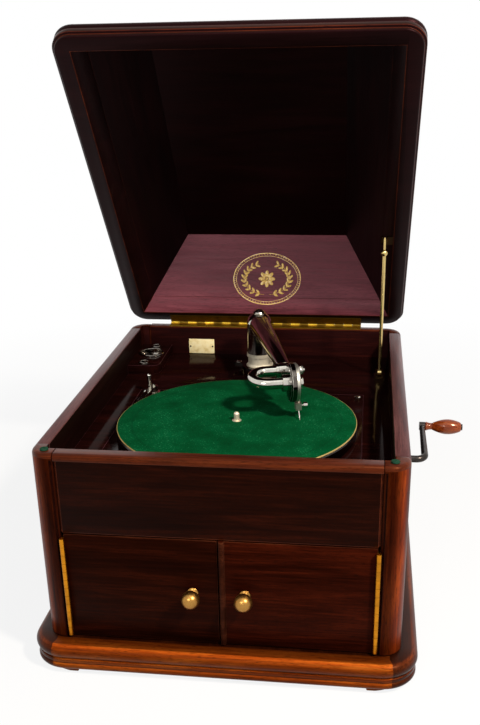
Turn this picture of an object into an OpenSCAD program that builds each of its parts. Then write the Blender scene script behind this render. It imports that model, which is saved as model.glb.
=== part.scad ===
// Table gramophone with an internal wooden horn, a hinged lid and two front doors.
// Millimetres; x to the right, y to the back, z up, floor at z = 0, lid propped open.

/* [Cabinet] */
// Width of the body over the corner posts
body_w = 432; // [424:1:444]
// Depth of the body over the corner posts
body_d = 528; // [522:1:540]
// Height of the top rim above the floor
rim_z = 288; // [285:1:296]
// Side of a corner post
post = 30; // [28:0.5:32]
// Radius of a post's outer corner
post_r = 24; // [20:0.5:26]
// Thickness of the panels between the posts
wall = 15; // [14:0.5:15.5]
// Set-back of the panels behind the posts
recess = 3; // [2.5:0.25:3.5]
// Radius of the round-over along the top rim
rim_round = 6; // [4:0.5:7]
// Height of the four feet
foot_h = 6; // [4:0.5:8]
// Height of the plinth moulding
plinth_h = 36; // [34:1:38]
// Overhang of the plinth beyond the body
plinth_over = 20.5; // [18:0.5:22]
// Height of the front rail above the doors
rail_h = 102; // [98:1:104]

/* [Deck] */
// Depth of the deck below the rim
deck_drop = 44; // [42:0.5:46]
// Thickness of the deck and motor board
board_t = 12; // [10:0.5:13]
// Width of the fixed deck at each side of the motor board
deck_side = 37; // [34:0.5:40]
// Reach of the motor board behind the spindle
motor_behind = 152; // [150:0.5:156]
// Rise of the needle shelf above the deck
shelf_rise = 14; // [12:0.5:16]

/* [Lid] */
// Angle at which the stay holds the lid
lid_angle = 54; // [52:0.5:55]
// Depth of the lid's hollow
lid_depth = 104; // [104:1:110]
// Width of the lid's flat rim
lid_rim_w = 20; // [18:0.5:22]
// Run of the lid's slopes, from rim to top panel
lid_run = 70; // [66:1:74]
// Overhang of the lid's moulding beyond the body
lid_over = 3; // [2:0.5:4]
// Thickness of the lid's top panel
lid_top_t = 10; // [8:0.5:12]
// Half length of the lid hinge
lid_hinge_half = 154; // [140:2:166]

/* [Stay] */
// Distance of the stay from the side wall
stay_side = 14; // [13:0.5:15]
// Distance of the stay's foot from the back wall
stay_back = 90; // [88:0.5:93]
// Diameter of the stay rod
stay_d = 5; // [4:0.25:5.5]

/* [Doors] */
// Distance of a knob from the middle of the front
knob_x = 31; // [26:1:40]
// Diameter of a knob's ball
knob_d = 22; // [18:0.5:24]
// Width of the bead on the meeting edge
bead_w = 7; // [5:0.5:9]

/* [Turntable] */
// Radius of the turntable
tt_r = 155; // [150:0.5:156]
// Distance of the spindle behind the front wall
tt_front = 166; // [164:0.5:168]
// Rise of the felt above the deck
felt_rise = 18; // [17:0.5:18.5]
// Radius of the record pin
pin_r = 3.6; // [3.4:0.05:3.6]
// Rise of the record pin above the felt
pin_rise = 11; // [8:0.5:14]

/* [Tonearm] */
// Distance of the tonearm pillar from the back wall
arm_back = 60; // [58:0.5:62]
// Height of the tonearm tube above the deck
arm_rise = 69; // [68:0.5:70]
// Angle of the tonearm to the right of straight ahead
arm_angle = 15.5; // [13:0.5:17]
// How far the throw-back swivel falls short of the spindle
swivel_short = 45; // [43:0.5:47]
// Distance between the two legs of the gooseneck
leg_gap = 38; // [37:0.5:40]
// Radius of the gooseneck tube
neck_r = 7; // [6.5:0.25:7.5]
// Radius of the sound box
box_r = 25; // [24:0.5:26]

/* [Crank] */
// Throw of the crank
crank_throw = 100; // [90:1:110]
// Radius of the crank rod
crank_rod_r = 4.75; // [4.5:0.05:5]
// Angle at which the crank rests above level
crank_lift = 4; // [0:1:10]
// Length of the turned grip
grip_len = 50; // [46:1:60]
// Largest radius of the grip
grip_r = 10.75; // [10:0.25:13]

/* [Motor] */
// Tooth module of the spring barrel's wheel
barrel_m = 1.5; // [1.45:0.01:1.5]
// Tooth module of the intermediate wheel
idler_m = 1.25; // [1.2:0.01:1.26]
// Tooth module of the winding wheel
wind_m = 1.8; // [1.75:0.01:1.8]
// Radius of the spring barrel's drum
drum_r = 46; // [44:0.5:48]

/* [Hidden] */
$fn = 48;

mahogany = "#3b150c";
mahogany_light = "#5a2412";
pine = "#b08a58";
nickel = "#c9c7c0";
brass = "#c8902e";
steel = "#55534f";
iron = "#2f2e2c";
felt_green = "#0a6b3c";

// Running clearance of a shaft in its hole
run = 0.05;
// Clearance between pieces that pass each other
pass = 0.3;

hw = body_w / 2;
hd = body_d / 2;
plinth_top = foot_h + plinth_h;
deck_z = rim_z - deck_drop;
band_z = rim_z - rim_round - 3;
under_z = deck_z - board_t;
in_x = hw - recess - wall;
in_y = hd - recess - wall;
pad_y = (in_y + hd - rim_round) / 2;
pad_r = (hd - rim_round - in_y) / 2 - 1;
rail_z = rim_z - rail_h;
tt_y = -in_y + tt_front;
arm_y = in_y - arm_back;
swivel_a = arm_y - tt_y - swivel_short;
motor_half = in_x - deck_side;
motor_back = tt_y + motor_behind;
stay_x = in_x - stay_side;
stay_y = in_y - stay_back;
bearer_w = 12;
motor_bearer = 10;
screw_in = 8;
screw_r = 4.5;

// Piano hinges: barrel radius, pin radius, leaf thickness and the gap between leaves
barrel_r = 3;
hinge_pin_r = 1;
leaf_t = 1.2;
leaf_gap = 0.4;
leaf_stack = 2 * leaf_t + leaf_gap;
door_axis_x = hw - post - leaf_stack / 2;
door_axis_y = -hd - 0.2;
door_edge = hw - post - leaf_stack;
meet = 0.6;
lid_axis_y = hd + barrel_r + 0.2;
lid_axis_z = rim_z + leaf_stack / 2;
lid_z = rim_z + leaf_stack;

// Lid: inner hollow and outer shell
lid_edge_h = 22;
lid_in_x = hw - lid_rim_w;
lid_in_y = hd - lid_rim_w;
lid_slope = lid_run / lid_depth;
lid_shell = 15;
lid_out_x = lid_in_x + lid_shell;
lid_out_y = lid_in_y + lid_shell;

// Stay: pivot above the deck, and the point where its pin meets the lid's catch
stay_pivot_z = deck_z + 6;
stay_u = (lid_axis_y - stay_y + 4.2 * sin(lid_angle)) / cos(lid_angle);
stay_tip_z = lid_axis_z + stay_u * sin(lid_angle) + 4.2 * cos(lid_angle);
stay_ball_z = stay_tip_z - 20;
catch_y = lid_axis_y - stay_u;

// Turntable and motor, set out from the spindle
tt = [0, tt_y];
felt_z = deck_z + felt_rise;
plate_z0 = under_z - 18;
plate_z1 = under_z - 12;
frame_z = under_z - 90;
crank_z = under_z - 36;
barrel_n = 72;
idler_pinion_n = 14;
idler_n = 60;
spindle_n = 16;
worm_n = 30;
worm_m = 1.6;
wind_n = 36;
wind_pinion_n = 12;
barrel_at = tt + [52, 44];
crank_y = barrel_at[1];
barrel_dist = barrel_m * (barrel_n + idler_pinion_n) / 2;
spindle_dist = idler_m * (idler_n + spindle_n) / 2;
to_barrel = norm(barrel_at - tt);
barrel_dir = atan2(barrel_at[1] - tt[1], barrel_at[0] - tt[0]);
idler_turn = acos((spindle_dist ^ 2 + to_barrel ^ 2 - barrel_dist ^ 2) / (2 * spindle_dist * to_barrel));
idler_dir = barrel_dir - idler_turn;
idler_at = tt + spindle_dist * [cos(idler_dir), sin(idler_dir)];
wheel_z = under_z - 30;
barrel_z = under_z - 84;
drum_h = 22;
worm_z = under_z - 47;
worm_r = 6.5;
worm_e = 1;
governor_x = -(worm_m * worm_n / 2 + worm_r + 0.4);
wind_r = wind_m * wind_n / 2;
wind_pinion_r = wind_m * wind_pinion_n / 2;
wind_x = barrel_at[0] + wind_r;
crank_x = hw + 29.5;
eye_half = 4;
governor_front = tt_y - 96;
governor_back = tt_y + 30;
disc_y = tt_y - 71;
ball_y = tt_y - 48;
shaft_r = 2.5;
motor_left = 66;
motor_right = 120;
motor_front = 102;
motor_rear = 112;
frame_front = 42;
bolt_in = 11.5;
bolt_front = 62;
bolt_xs = [-motor_left + bolt_in, motor_right - bolt_in];
motor_bolts = [for (x = bolt_xs) for (y = [-bolt_front, motor_rear - bolt_in]) tt + [x, y]];
speed_off = 78;
speed_at = tt - [speed_off, speed_off];
speed_dir = 225;
speed_len = tt_r + 20 - norm(speed_at - tt);

// Tonearm: local frame has the pillar at the origin and the arm along -y
arm_z = deck_z + arm_rise;
spigot_r = 14;
base_h = 24;
neck_out = 28;
neck_tilt = 6;
swivel_half = 10;
swivel_bore = 8;
box_a = swivel_a + leg_gap * cos(neck_tilt);
box_z = -leg_gap * sin(neck_tilt);
box_b = -4;
box_t = 12;
needle_lean = 40;

// Brake: post on the motor board, lever along the turntable's rim
brake_in = 21;
brake_at = [-motor_half + brake_in, motor_back - 14];
brake_len = 60;
brake_travel = 8;
brake_pad_r = 4;
brake_rest_r = tt_r + brake_pad_r + pass + brake_len * sin(brake_travel);
brake_post_d = norm(brake_at - tt);
brake_open = acos((brake_post_d ^ 2 + brake_rest_r ^ 2 - brake_len ^ 2) / (2 * brake_post_d * brake_rest_r));
brake_way = atan2(brake_at[1] - tt[1], brake_at[0] - tt[0]) + brake_open;
brake_pad = tt + brake_rest_r * [cos(brake_way), sin(brake_way)];
brake_dir = atan2(brake_pad[1] - brake_at[1], brake_pad[0] - brake_at[0]);

// Needle shelf in the left back corner
shelf_z = deck_z + shelf_rise;
shelf_w = 48;
shelf_len = 109;
shelf_end_r = 14;
shelf_x1 = -in_x + shelf_w;
shelf_y0 = in_y - shelf_len;
shelf_mid = (-in_x + shelf_x1) / 2;
cup_spots = [
  [shelf_mid, shelf_y0 + 63, 20], [shelf_mid - 2, shelf_y0 + 15, 8], [shelf_mid, shelf_y0 + 97, 7.5]
];

// Horn: side outline of the roof board's underside, back to front
horn_back = arm_y - 46;
horn_front = -in_y + 3;
horn_bend = tt_y - 70;
roof = [[horn_back, plinth_top + 76], [horn_bend, frame_z - 10.5], [horn_front, rail_z - 3]];
roof_t = 6;
horn_half_back = 38;
horn_half_front = door_edge - 4;
throat_z = plinth_top + 41;

function arc(c, r, a0, a1, n = 8) =
  [for (i = [0:n]) let (a = a0 + (a1 - a0) * i / n) c + r * [cos(a), sin(a)]];
function inv(a) = tan(a) * 180 / PI - a;

module mirror_x() {
  children();
  mirror([1, 0, 0]) children();
}

module four_corners() {
  mirror_x() {
    children();
    mirror([0, 1, 0]) children();
  }
}

// Extrudes a profile drawn in (y, z) along x, about the middle
module along_x(len) {
  translate([-len / 2, 0, 0]) rotate([90, 0, 90]) linear_extrude(len) children();
}

// Extrudes a profile drawn in (x, z) along y, about the middle
module along_y(len) {
  translate([0, len / 2, 0]) rotate([90, 0, 0]) linear_extrude(len) children();
}

module block(x0, x1, y0, y1, z0, z1) {
  translate([x0, y0, z0]) cube([x1 - x0, y1 - y0, z1 - z0]);
}

// Solid slab with a moulded edge; edge is a list of [outward, height] from bottom to top
module moulded_slab(edge, r) {
  n = len(edge);
  low = edge[0][1];
  high = edge[n - 1][1];
  along_x(body_w - 2 * r)
    polygon(concat([for (p = edge) [hd + p[0], p[1]]],
      [for (i = [n - 1:-1:0]) [-hd - edge[i][0], edge[i][1]]]));
  along_y(body_d - 2 * r)
    polygon(concat([for (p = edge) [hw + p[0], p[1]]],
      [for (i = [n - 1:-1:0]) [-hw - edge[i][0], edge[i][1]]]));
  four_corners()
    translate([hw - r, hd - r, 0])
      rotate_extrude(angle = 90)
        polygon(concat([[0, low]], [for (p = edge) [r + p[0], p[1]]], [[0, high]]));
}

module rounded_plate(x, y, r) {
  hull()
    for (sx = [-1, 1])
      for (sy = [-1, 1])
        translate([sx * (x - r), sy * (y - r)]) circle(r, $fn = 32);
}

// Four-sided frustum between two rectangles given by half sizes
module frustum(x0, y0, z0, x1, y1, z1) {
  polyhedron(
    points = concat([for (c = [[-1, -1], [1, -1], [1, 1], [-1, 1]]) [c[0] * x0, c[1] * y0, z0]],
      [for (c = [[-1, -1], [1, -1], [1, 1], [-1, 1]]) [c[0] * x1, c[1] * y1, z1]]),
    faces = [[0, 1, 2, 3], [7, 6, 5, 4], [4, 5, 1, 0], [5, 6, 2, 1], [6, 7, 3, 2], [7, 4, 0, 3]]);
}

// One half of a piano hinge along z; leaf is [x0, y0, x1, y1] from the axis, fixed halves hold the pin
module hinge_half(len, count, leaf, fixed) {
  step = len / count;
  phase = fixed ? 0 : 1;
  difference() {
    union() {
      difference() {
        block(leaf[0], leaf[2], leaf[1], leaf[3], 0, len);
        for (i = [1 - phase:2:count - 1])
          translate([0, 0, i * step - 0.15]) cylinder(r = barrel_r + 0.35, h = step + 0.3);
      }
      for (i = [phase:2:count - 1])
        translate([0, 0, i * step + 0.15]) cylinder(r = barrel_r, h = step - 0.3);
    }
    if (!fixed)
      translate([0, 0, -1]) cylinder(r = hinge_pin_r + run, h = len + 2);
  }
  if (fixed)
    cylinder(r = hinge_pin_r, h = len);
}

// Spur wheel with involute flanks, thinned for backlash
module spur(teeth, m, h, phase = 0) {
  pitch = m * teeth / 2;
  base = pitch * cos(20);
  root = pitch - 1.15 * m;
  tip = pitch + 0.8 * m;
  half = 90 / teeth * 0.9;
  radii = [root, max(root + 0.01, base), (max(root, base) + tip) / 2, tip];
  width = [for (r = radii) half + inv(20) - inv(acos(min(1, base / r)))];
  rotate(phase)
    linear_extrude(h)
      polygon([for (i = [0:teeth - 1]) for (s = [-1, 1]) for (k = [0:3])
        let (j = s < 0 ? k : 3 - k, a = i * 360 / teeth + s * width[j]) radii[j] * [cos(a), sin(a)]]);
}

// Phase of a driven wheel that meshes with a wheel of n1 teeth at phase1 in direction dir
function mesh(n1, phase1, n2, dir) = dir + 180 - 360 / n2 * (0.5 - (dir - phase1) * n1 / 360);

// Puts children drawn with the lid shut into the propped pose
module lid_pose() {
  translate([0, lid_axis_y, lid_axis_z])
    rotate([-lid_angle, 0, 0])
      translate([0, -lid_axis_y, -lid_axis_z])
        children();
}

module lid_hollow() {
  translate([0, 0, lid_z])
    frustum(lid_in_x + lid_slope, lid_in_y + lid_slope, -1,
      lid_in_x - lid_run, lid_in_y - lid_run, lid_depth);
}

module arm_pose() {
  translate([0, arm_y, arm_z]) rotate(arm_angle) children();
}

module along_b() {
  rotate([0, 90, 0]) children();
}

// Cabinet

module feet() {
  color(mahogany)
    four_corners()
      translate([hw - 40, hd - 40, 0])
        linear_extrude(foot_h)
          intersection() {
            square(32 + plinth_over);
            union() {
              circle(33 + plinth_over);
              square(30);
            }
          }
}

module plinth() {
  o = plinth_over;
  f = foot_h;
  groove = [[o - 4, f + 10], [o - 2.5, f + 10.5], [o - 2.5, f + 14.5], [o - 5, f + 15.5], [o - 5, f + 18]];
  edge = concat([[o - 7, f]], arc([o - 6.5, f + 5], 5, -80, 60), groove,
    arc([o - 10, f + 24], 10, -37, 80), [[1, plinth_top]]);
  color(mahogany_light)
    difference() {
      moulded_slab(edge, post_r);
      block(-hw + 20, hw - 20, -hd + 20, hd - 20, 0, plinth_top + 1);
    }
}

module bottom_board() {
  color(pine) block(-hw + 20, hw - 20, -hd + 20, hd - 20, plinth_top - 12, plinth_top);
}

// Top band of the body, flush with the posts, its outer edge rounded over
module rim_band() {
  edge = concat([[0, band_z]], arc([-rim_round, rim_z - rim_round], rim_round, 0, 90));
  intersection() {
    moulded_slab(edge, post_r);
    children();
  }
}

module corner_posts() {
  color(mahogany) {
    four_corners()
      translate([0, 0, plinth_top])
        linear_extrude(band_z + 1 - plinth_top)
          difference() {
            translate([hw - post, hd - post]) square(post);
            difference() {
              translate([hw - post_r, hd - post_r]) square(post_r + 1);
              translate([hw - post_r, hd - post_r]) circle(post_r);
            }
            square([in_x, in_y]);
            translate([hw - post - 1, hd - 3.7]) square([4.7, 5]);
          }
    rim_band()
      four_corners()
        difference() {
          block(hw - post, hw + 1, hd - post, hd + 1, band_z - 1, rim_z + 1);
          block(0, in_x, 0, in_y, band_z - 2, rim_z + 2);
        }
  }
}

module front_rail() {
  color(mahogany) {
    difference() {
      block(-hw + post, hw - post, -hd + recess, -in_y, rail_z, band_z + 1);
      mirror_x() block(hw - post - 2, hw, -hd, -hd + recess + 2, rail_z - 1, band_z + 2);
    }
    rim_band() block(-hw + post, hw - post, -hd - 1, -in_y, band_z - 1, rim_z + 1);
  }
}

module side_panel() {
  block(in_x, hw - recess, -hd + post, hd - post, plinth_top, band_z + 1);
  rim_band() block(in_x, hw + 1, -hd + post, hd - post, band_z - 1, rim_z + 1);
}

module left_side() {
  color(mahogany) mirror([1, 0, 0]) side_panel();
}

module right_side() {
  color(mahogany)
    difference() {
      side_panel();
      translate([0, crank_y, crank_z]) along_b() cylinder(r = 9, h = body_w);
    }
}

module back_panel() {
  color(mahogany) {
    block(-hw + post, hw - post, in_y, hd - recess, plinth_top, rim_z);
    block(-hw + post, hw - post, in_y, hd, band_z, rim_z);
  }
}

module deck() {
  color(mahogany)
    difference() {
      block(-in_x, in_x, -in_y, in_y, under_z, deck_z);
      block(-motor_half - 0.5, motor_half + 0.5, -in_y - 1, motor_back + 0.5, under_z - 1, deck_z + 1);
      translate([0, arm_y, under_z - 1]) cylinder(r = spigot_r, h = board_t + 2);
    }
}

module deck_bearers() {
  color(pine) {
    mirror_x() block(in_x - bearer_w, in_x, -in_y, in_y, under_z - bearer_w, under_z);
    mirror_x()
      block(motor_half - motor_bearer, motor_half + motor_bearer, -in_y, in_y, under_z - bearer_w, under_z);
    block(-motor_half + motor_bearer + 0.1, motor_half - motor_bearer - 0.1,
      motor_back - motor_bearer - 1, motor_back + motor_bearer + 1, under_z - bearer_w, under_z);
  }
}

module motor_board() {
  color(mahogany)
    difference() {
      block(-motor_half, motor_half, -in_y, motor_back, under_z, deck_z);
      translate([tt[0], tt[1], under_z - 1]) cylinder(r = 9, h = board_t + 2);
      translate([speed_at[0], speed_at[1], under_z - 1]) cylinder(r = 3 + run, h = board_t + 2);
    }
}

module screw_head() {
  rise = 1.5;
  dome_r = (screw_r * screw_r + rise * rise) / (2 * rise);
  difference() {
    intersection() {
      cylinder(r = screw_r, h = 2);
      translate([0, 0, 0.4 + rise - dome_r]) sphere(r = dome_r);
    }
    block(-screw_r - 1, screw_r + 1, -0.6, 0.6, 0.9, 3);
  }
}

module deck_screws() {
  color(nickel) {
    for (x = [-motor_half + screw_in, motor_half - screw_in])
      for (y = [-in_y + screw_in + 4, motor_back - screw_in])
        translate([x, y, deck_z]) screw_head();
    for (a = [160, 340])
      translate([36 * cos(a), arm_y + 36 * sin(a), deck_z + 4]) screw_head();
  }
}

module horn_side(up, t) {
  polygon(concat([for (p = roof) p + [0, up]], [for (i = [2:-1:0]) roof[i] + [0, up + t]]));
}

module horn_cheeks() {
  color(pine)
    mirror_x()
      intersection() {
        translate([0, 0, plinth_top])
          linear_extrude(200)
            polygon([[horn_half_back, horn_back], [horn_half_back + 6, horn_back],
              [horn_half_front + 6, horn_front], [horn_half_front, horn_front]]);
        along_x(body_w)
          polygon(concat(roof, [[horn_front, plinth_top], [horn_back, plinth_top]]));
      }
}

module horn_roof() {
  color(pine)
    intersection() {
      along_x(body_w) horn_side(0, roof_t);
      linear_extrude(rim_z)
        polygon([[-horn_half_back - 6, horn_back], [horn_half_back + 6, horn_back],
          [horn_half_front + 6, horn_front], [-horn_half_front - 6, horn_front]]);
    }
}

// Cast elbow from the tonearm down to the back of the wooden horn
module horn_throat() {
  drop = 39;
  outer = 19;
  bore = spigot_r;
  top = throat_z + drop;
  color(iron) {
    difference() {
      union() {
        translate([0, arm_y, top]) cylinder(r = outer, h = under_z - top);
        translate([0, arm_y, under_z - 6]) cylinder(r = 30, h = 6);
      }
      translate([0, arm_y, top - 1]) cylinder(r = bore, h = under_z - top + 2);
    }
    translate([0, arm_y - drop, top])
      rotate([0, 90, 0])
        rotate_extrude(angle = 90)
          translate([drop, 0])
            difference() {
              circle(outer);
              circle(bore);
            }
    difference() {
      block(-horn_half_back - 6, horn_half_back + 6,
        horn_back, arm_y - drop, plinth_top, roof[0][1] + roof_t);
      translate([0, horn_back - 1, throat_z]) rotate([-90, 0, 0]) cylinder(r = bore, h = 20);
    }
  }
}

module needle_shelf() {
  color(mahogany)
    difference() {
      union() {
        block(-in_x, shelf_x1 - shelf_end_r, shelf_y0, in_y, deck_z, shelf_z);
        block(-in_x, shelf_x1, shelf_y0 + shelf_end_r, in_y, deck_z, shelf_z);
        translate([shelf_x1 - shelf_end_r, shelf_y0 + shelf_end_r, deck_z])
          cylinder(r = shelf_end_r, h = shelf_rise);
      }
      for (c = cup_spots)
        translate([c[0], c[1], deck_z + 2]) cylinder(r = c[2] - 2, h = shelf_rise);
    }
}

module needle_cups() {
  color(nickel)
    for (c = cup_spots)
      translate([c[0], c[1], shelf_z])
        rotate_extrude()
          polygon(concat([[0, -9], [c[2] - 4, -9], [c[2] - 2, -7], [c[2] - 2, 0], [c[2], 0]],
            arc([c[2] - 1.2, 1.2], 1.2, 0, 180, 6), [[c[2] - 3.4, -5], [c[2] - 5.4, -7], [0, -7]]));
}

module lid_pads() {
  color(felt_green)
    mirror_x()
      translate([in_x, -pad_y, rim_z]) cylinder(r = pad_r, h = leaf_stack - pass);
}

module lid_leaf(fixed) {
  len = 2 * lid_hinge_half;
  leaf = fixed ? [leaf_gap / 2, -17, leaf_stack / 2, -1] : [-leaf_stack / 2, -17, -leaf_gap / 2, -1];
  translate([-lid_hinge_half, lid_axis_y, lid_axis_z])
    rotate([0, 90, 0])
      hinge_half(len, 22, leaf, fixed);
}

module lid_hinge_fixed() {
  color(brass) lid_leaf(true);
}

module door_leaf(fixed) {
  leaf = fixed ? [leaf_gap / 2, 1, leaf_stack / 2, 15] : [-leaf_stack / 2, 1, -leaf_gap / 2, 15];
  translate([door_axis_x, door_axis_y, plinth_top + 4])
    hinge_half(rail_z - plinth_top - 10, 12, leaf, fixed);
}

module door_hinges_fixed() {
  color(brass) mirror_x() door_leaf(true);
}

module stay_socket() {
  color(brass) {
    block(stay_x - 8, stay_x + 8, stay_y - 14, stay_y + 10, deck_z, deck_z + 1.4);
    for (x = [-5.4, 3])
      block(stay_x + x, stay_x + x + 2.4, stay_y - 5, stay_y + 5, deck_z, stay_pivot_z + 4);
    translate([stay_x - 5.4, stay_y, stay_pivot_z]) along_b() cylinder(r = 1.5, h = 10.8);
  }
}

module crank_bush() {
  color(brass)
    translate([0, crank_y, crank_z])
      along_b()
        difference() {
          union() {
            translate([0, 0, in_x]) cylinder(r = 9, h = wall + recess);
            translate([0, 0, hw - recess]) cylinder(r = 17, h = 3);
            translate([0, 0, hw - recess]) cylinder(r = 11, h = 7);
          }
          translate([0, 0, in_x - 1]) cylinder(r = crank_rod_r + run, h = body_w);
        }
}

module tonearm_base() {
  color(nickel)
    translate([0, arm_y, deck_z])
      difference() {
        union() {
          cylinder(r = 27, h = 4);
          for (a = [160, 340])
            rotate(a) {
              block(0, 36, -8, 8, 0, 4);
              translate([36, 0, 0]) cylinder(r = 8, h = 4);
            }
          rotate_extrude()
            polygon(concat([[0, 0], [22, 0], [22, 4]], arc([22, 8.5], 4.5, 270, 180, 6),
              [[17.5, base_h - 6], [19.5, base_h - 5], [19.5, base_h], [0, base_h]]));
        }
        translate([0, 0, -1]) cylinder(r = spigot_r + run, h = 60);
      }
}

module brake_post() {
  color(nickel)
    translate([brake_at[0], brake_at[1], deck_z]) {
      cylinder(r = 9, h = 2);
      cylinder(r = 6, h = 8);
      cylinder(r = 2.5, h = 14);
    }
}

module governor_lug(y) {
  difference() {
    block(governor_x - 8, governor_x + 8, y - 3, y + 3, worm_z - 7, plate_z0 + 1);
    translate([governor_x, y - 4, worm_z]) rotate([-90, 0, 0]) cylinder(r = shaft_r + run, h = 8);
  }
}

module winding_lug(x, r) {
  difference() {
    block(x - 4, x + 4, crank_y - 12, crank_y + 12, crank_z - 6.5, plate_z0 + 1);
    translate([x - 5, crank_y, crank_z]) along_b() cylinder(r = r + run, h = 10);
  }
}

module motor_plate() {
  color(iron) {
    difference() {
      union() {
        block(-motor_left, motor_right, tt_y - motor_front, tt_y + motor_rear, plate_z0, plate_z1);
        for (p = motor_bolts)
          translate([p[0], p[1], plate_z0]) cylinder(r = 8, h = under_z - plate_z0);
        translate([tt[0], tt[1], plate_z0]) cylinder(r = 11, h = 10);
      }
      translate([tt[0], tt[1], plate_z0 - 1]) cylinder(r = 5 + run, h = 20);
      translate([idler_at[0], idler_at[1], plate_z0 - 1]) cylinder(r = 3 + run, h = 20);
      translate([speed_at[0], speed_at[1], plate_z0 - 1]) cylinder(r = 3 + run, h = 20);
    }
    governor_lug(governor_front + 3);
    governor_lug(governor_back - 3);
    winding_lug(wind_x + 22, 6);
    winding_lug(wind_x - 14, 4);
  }
}

module motor_frame() {
  color(iron)
    difference() {
      union() {
        block(-motor_left, motor_right, tt_y - frame_front, tt_y + motor_rear, frame_z, frame_z + 4);
        for (x = bolt_xs)
          block(x - 8, x + 8, tt_y - bolt_front - 8, tt_y - frame_front + 2, frame_z, frame_z + 4);
        for (p = motor_bolts)
          translate([p[0], p[1], frame_z]) cylinder(r = 5, h = plate_z0 - frame_z);
      }
      translate([tt[0], tt[1], frame_z - 1]) cylinder(r = 3 + run, h = 10);
      translate([barrel_at[0], barrel_at[1], frame_z - 1]) cylinder(r = 5 + run, h = 10);
      translate([idler_at[0], idler_at[1], frame_z - 1]) cylinder(r = 3 + run, h = 10);
    }
}

// Lid

module lid_rim() {
  o = lid_over;
  reed = [[0, 4], [o, 5.2], [o, 11], [o - 1.6, 12], [o - 1.6, 13]];
  edge = concat([[-2, 0]], arc([-2, 2], 2, -90, 0, 4), reed, arc([o - 5, 17], 5, -40, 78), [[-6, lid_edge_h]]);
  color(mahogany)
    lid_pose()
      difference() {
        translate([0, 0, lid_z]) moulded_slab(edge, post_r);
        lid_hollow();
      }
}

module lid_shell_at(z0, z1) {
  inset = function (z) (z - lid_edge_h) * lid_slope;
  translate([0, 0, lid_z])
    hull()
      for (z = [z0, z1 - 0.01])
        translate([0, 0, z])
          linear_extrude(0.01)
            rounded_plate(lid_out_x - inset(z) - 5, lid_out_y - inset(z) - 5,
              20 - 8 * (z - lid_edge_h) / lid_depth);
}

module lid_slopes() {
  difference() {
    lid_shell_at(lid_edge_h, lid_depth);
    lid_hollow();
  }
}

// Plan wedge between two 45 degree mitres, for the boards that close the lid's ends
module mitre_wedge() {
  far = 60;
  linear_extrude(2 * rim_z)
    for (s = [-1, 1])
      polygon([[-lid_in_x - far, s * (lid_in_y + far)], [lid_in_x + far, s * (lid_in_y + far)],
        [lid_in_x - 2 * far, s * (lid_in_y - 2 * far)], [-lid_in_x + 2 * far, s * (lid_in_y - 2 * far)]]);
}

module lid_ends() {
  color(mahogany)
    lid_pose()
      intersection() {
        lid_slopes();
        mitre_wedge();
      }
}

module lid_sides() {
  color(mahogany)
    lid_pose()
      difference() {
        lid_slopes();
        mitre_wedge();
      }
}

module lid_top() {
  color(mahogany) lid_pose() lid_shell_at(lid_depth, lid_depth + lid_top_t);
}

module lid_hinge_leaf() {
  color(brass) lid_pose() lid_leaf(false);
}

module lid_stay_catch() {
  color(brass)
    lid_pose()
      intersection() {
        difference() {
          block(stay_x - 6, hw, catch_y - 5, catch_y + 11, lid_z + 1.5, lid_z + 4);
          block(stay_x - 2.4, stay_x + 2.4, catch_y - 6, catch_y + 6, lid_z, lid_z + 5);
        }
        lid_hollow();
      }
}

module lid_stay() {
  color(brass)
    translate([stay_x, stay_y, 0])
      difference() {
        union() {
          translate([-2.7, 0, stay_pivot_z]) along_b() cylinder(r = 4.2, h = 5.4);
          translate([0, 0, stay_pivot_z]) cylinder(d = stay_d, h = stay_ball_z - stay_pivot_z);
          translate([0, 0, stay_ball_z]) sphere(r = 5);
          translate([0, 0, stay_ball_z]) cylinder(r = 1.8, h = 22);
        }
        translate([-4, 0, stay_pivot_z]) along_b() cylinder(r = 1.5 + run, h = 8);
      }
}

// Doors

// The meeting edge is bevelled so that both doors can swing at once
module door_panel() {
  translate([0, 0, plinth_top + 1.5])
    linear_extrude(rail_z - plinth_top - 3)
      polygon([[meet, -hd + recess], [door_edge, -hd + recess], [door_edge, -in_y], [meet + 2, -in_y]]);
}

module left_door() {
  color(mahogany) mirror([1, 0, 0]) door_panel();
}

module right_door() {
  color(mahogany) {
    door_panel();
    translate([meet + bead_w / 2, -hd + recess, plinth_top + 1.5])
      intersection() {
        cylinder(d = bead_w, h = rail_z - plinth_top - 3);
        block(-bead_w, bead_w, -bead_w, 1, 0, rail_z);
      }
  }
}

module knob() {
  r = knob_d / 2;
  translate([knob_x, -hd + recess, (plinth_top + rail_z) / 2])
    rotate([90, 0, 0])
      rotate_extrude()
        polygon(concat([[0, 0], [6.5, 0], [6.5, 1.2], [5, 2.6], [4, 4], [4, 5.5]],
          arc([0, 7 + r * 0.9], r, -62, 90, 14)));
}

module left_knob() {
  color(brass) mirror([1, 0, 0]) knob();
}

module right_knob() {
  color(brass) knob();
}

module left_door_leaf() {
  color(brass) mirror([1, 0, 0]) door_leaf(false);
}

module right_door_leaf() {
  color(brass) door_leaf(false);
}

// Crank: a rod out of the right side, bent to the back, then out again to carry the grip

module bend(r_bend, r) {
  rotate_extrude(angle = 90) translate([r_bend, 0]) circle(r);
}

module crank_pose() {
  translate([0, crank_y, crank_z]) rotate([crank_lift, 0, 0]) children();
}

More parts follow.
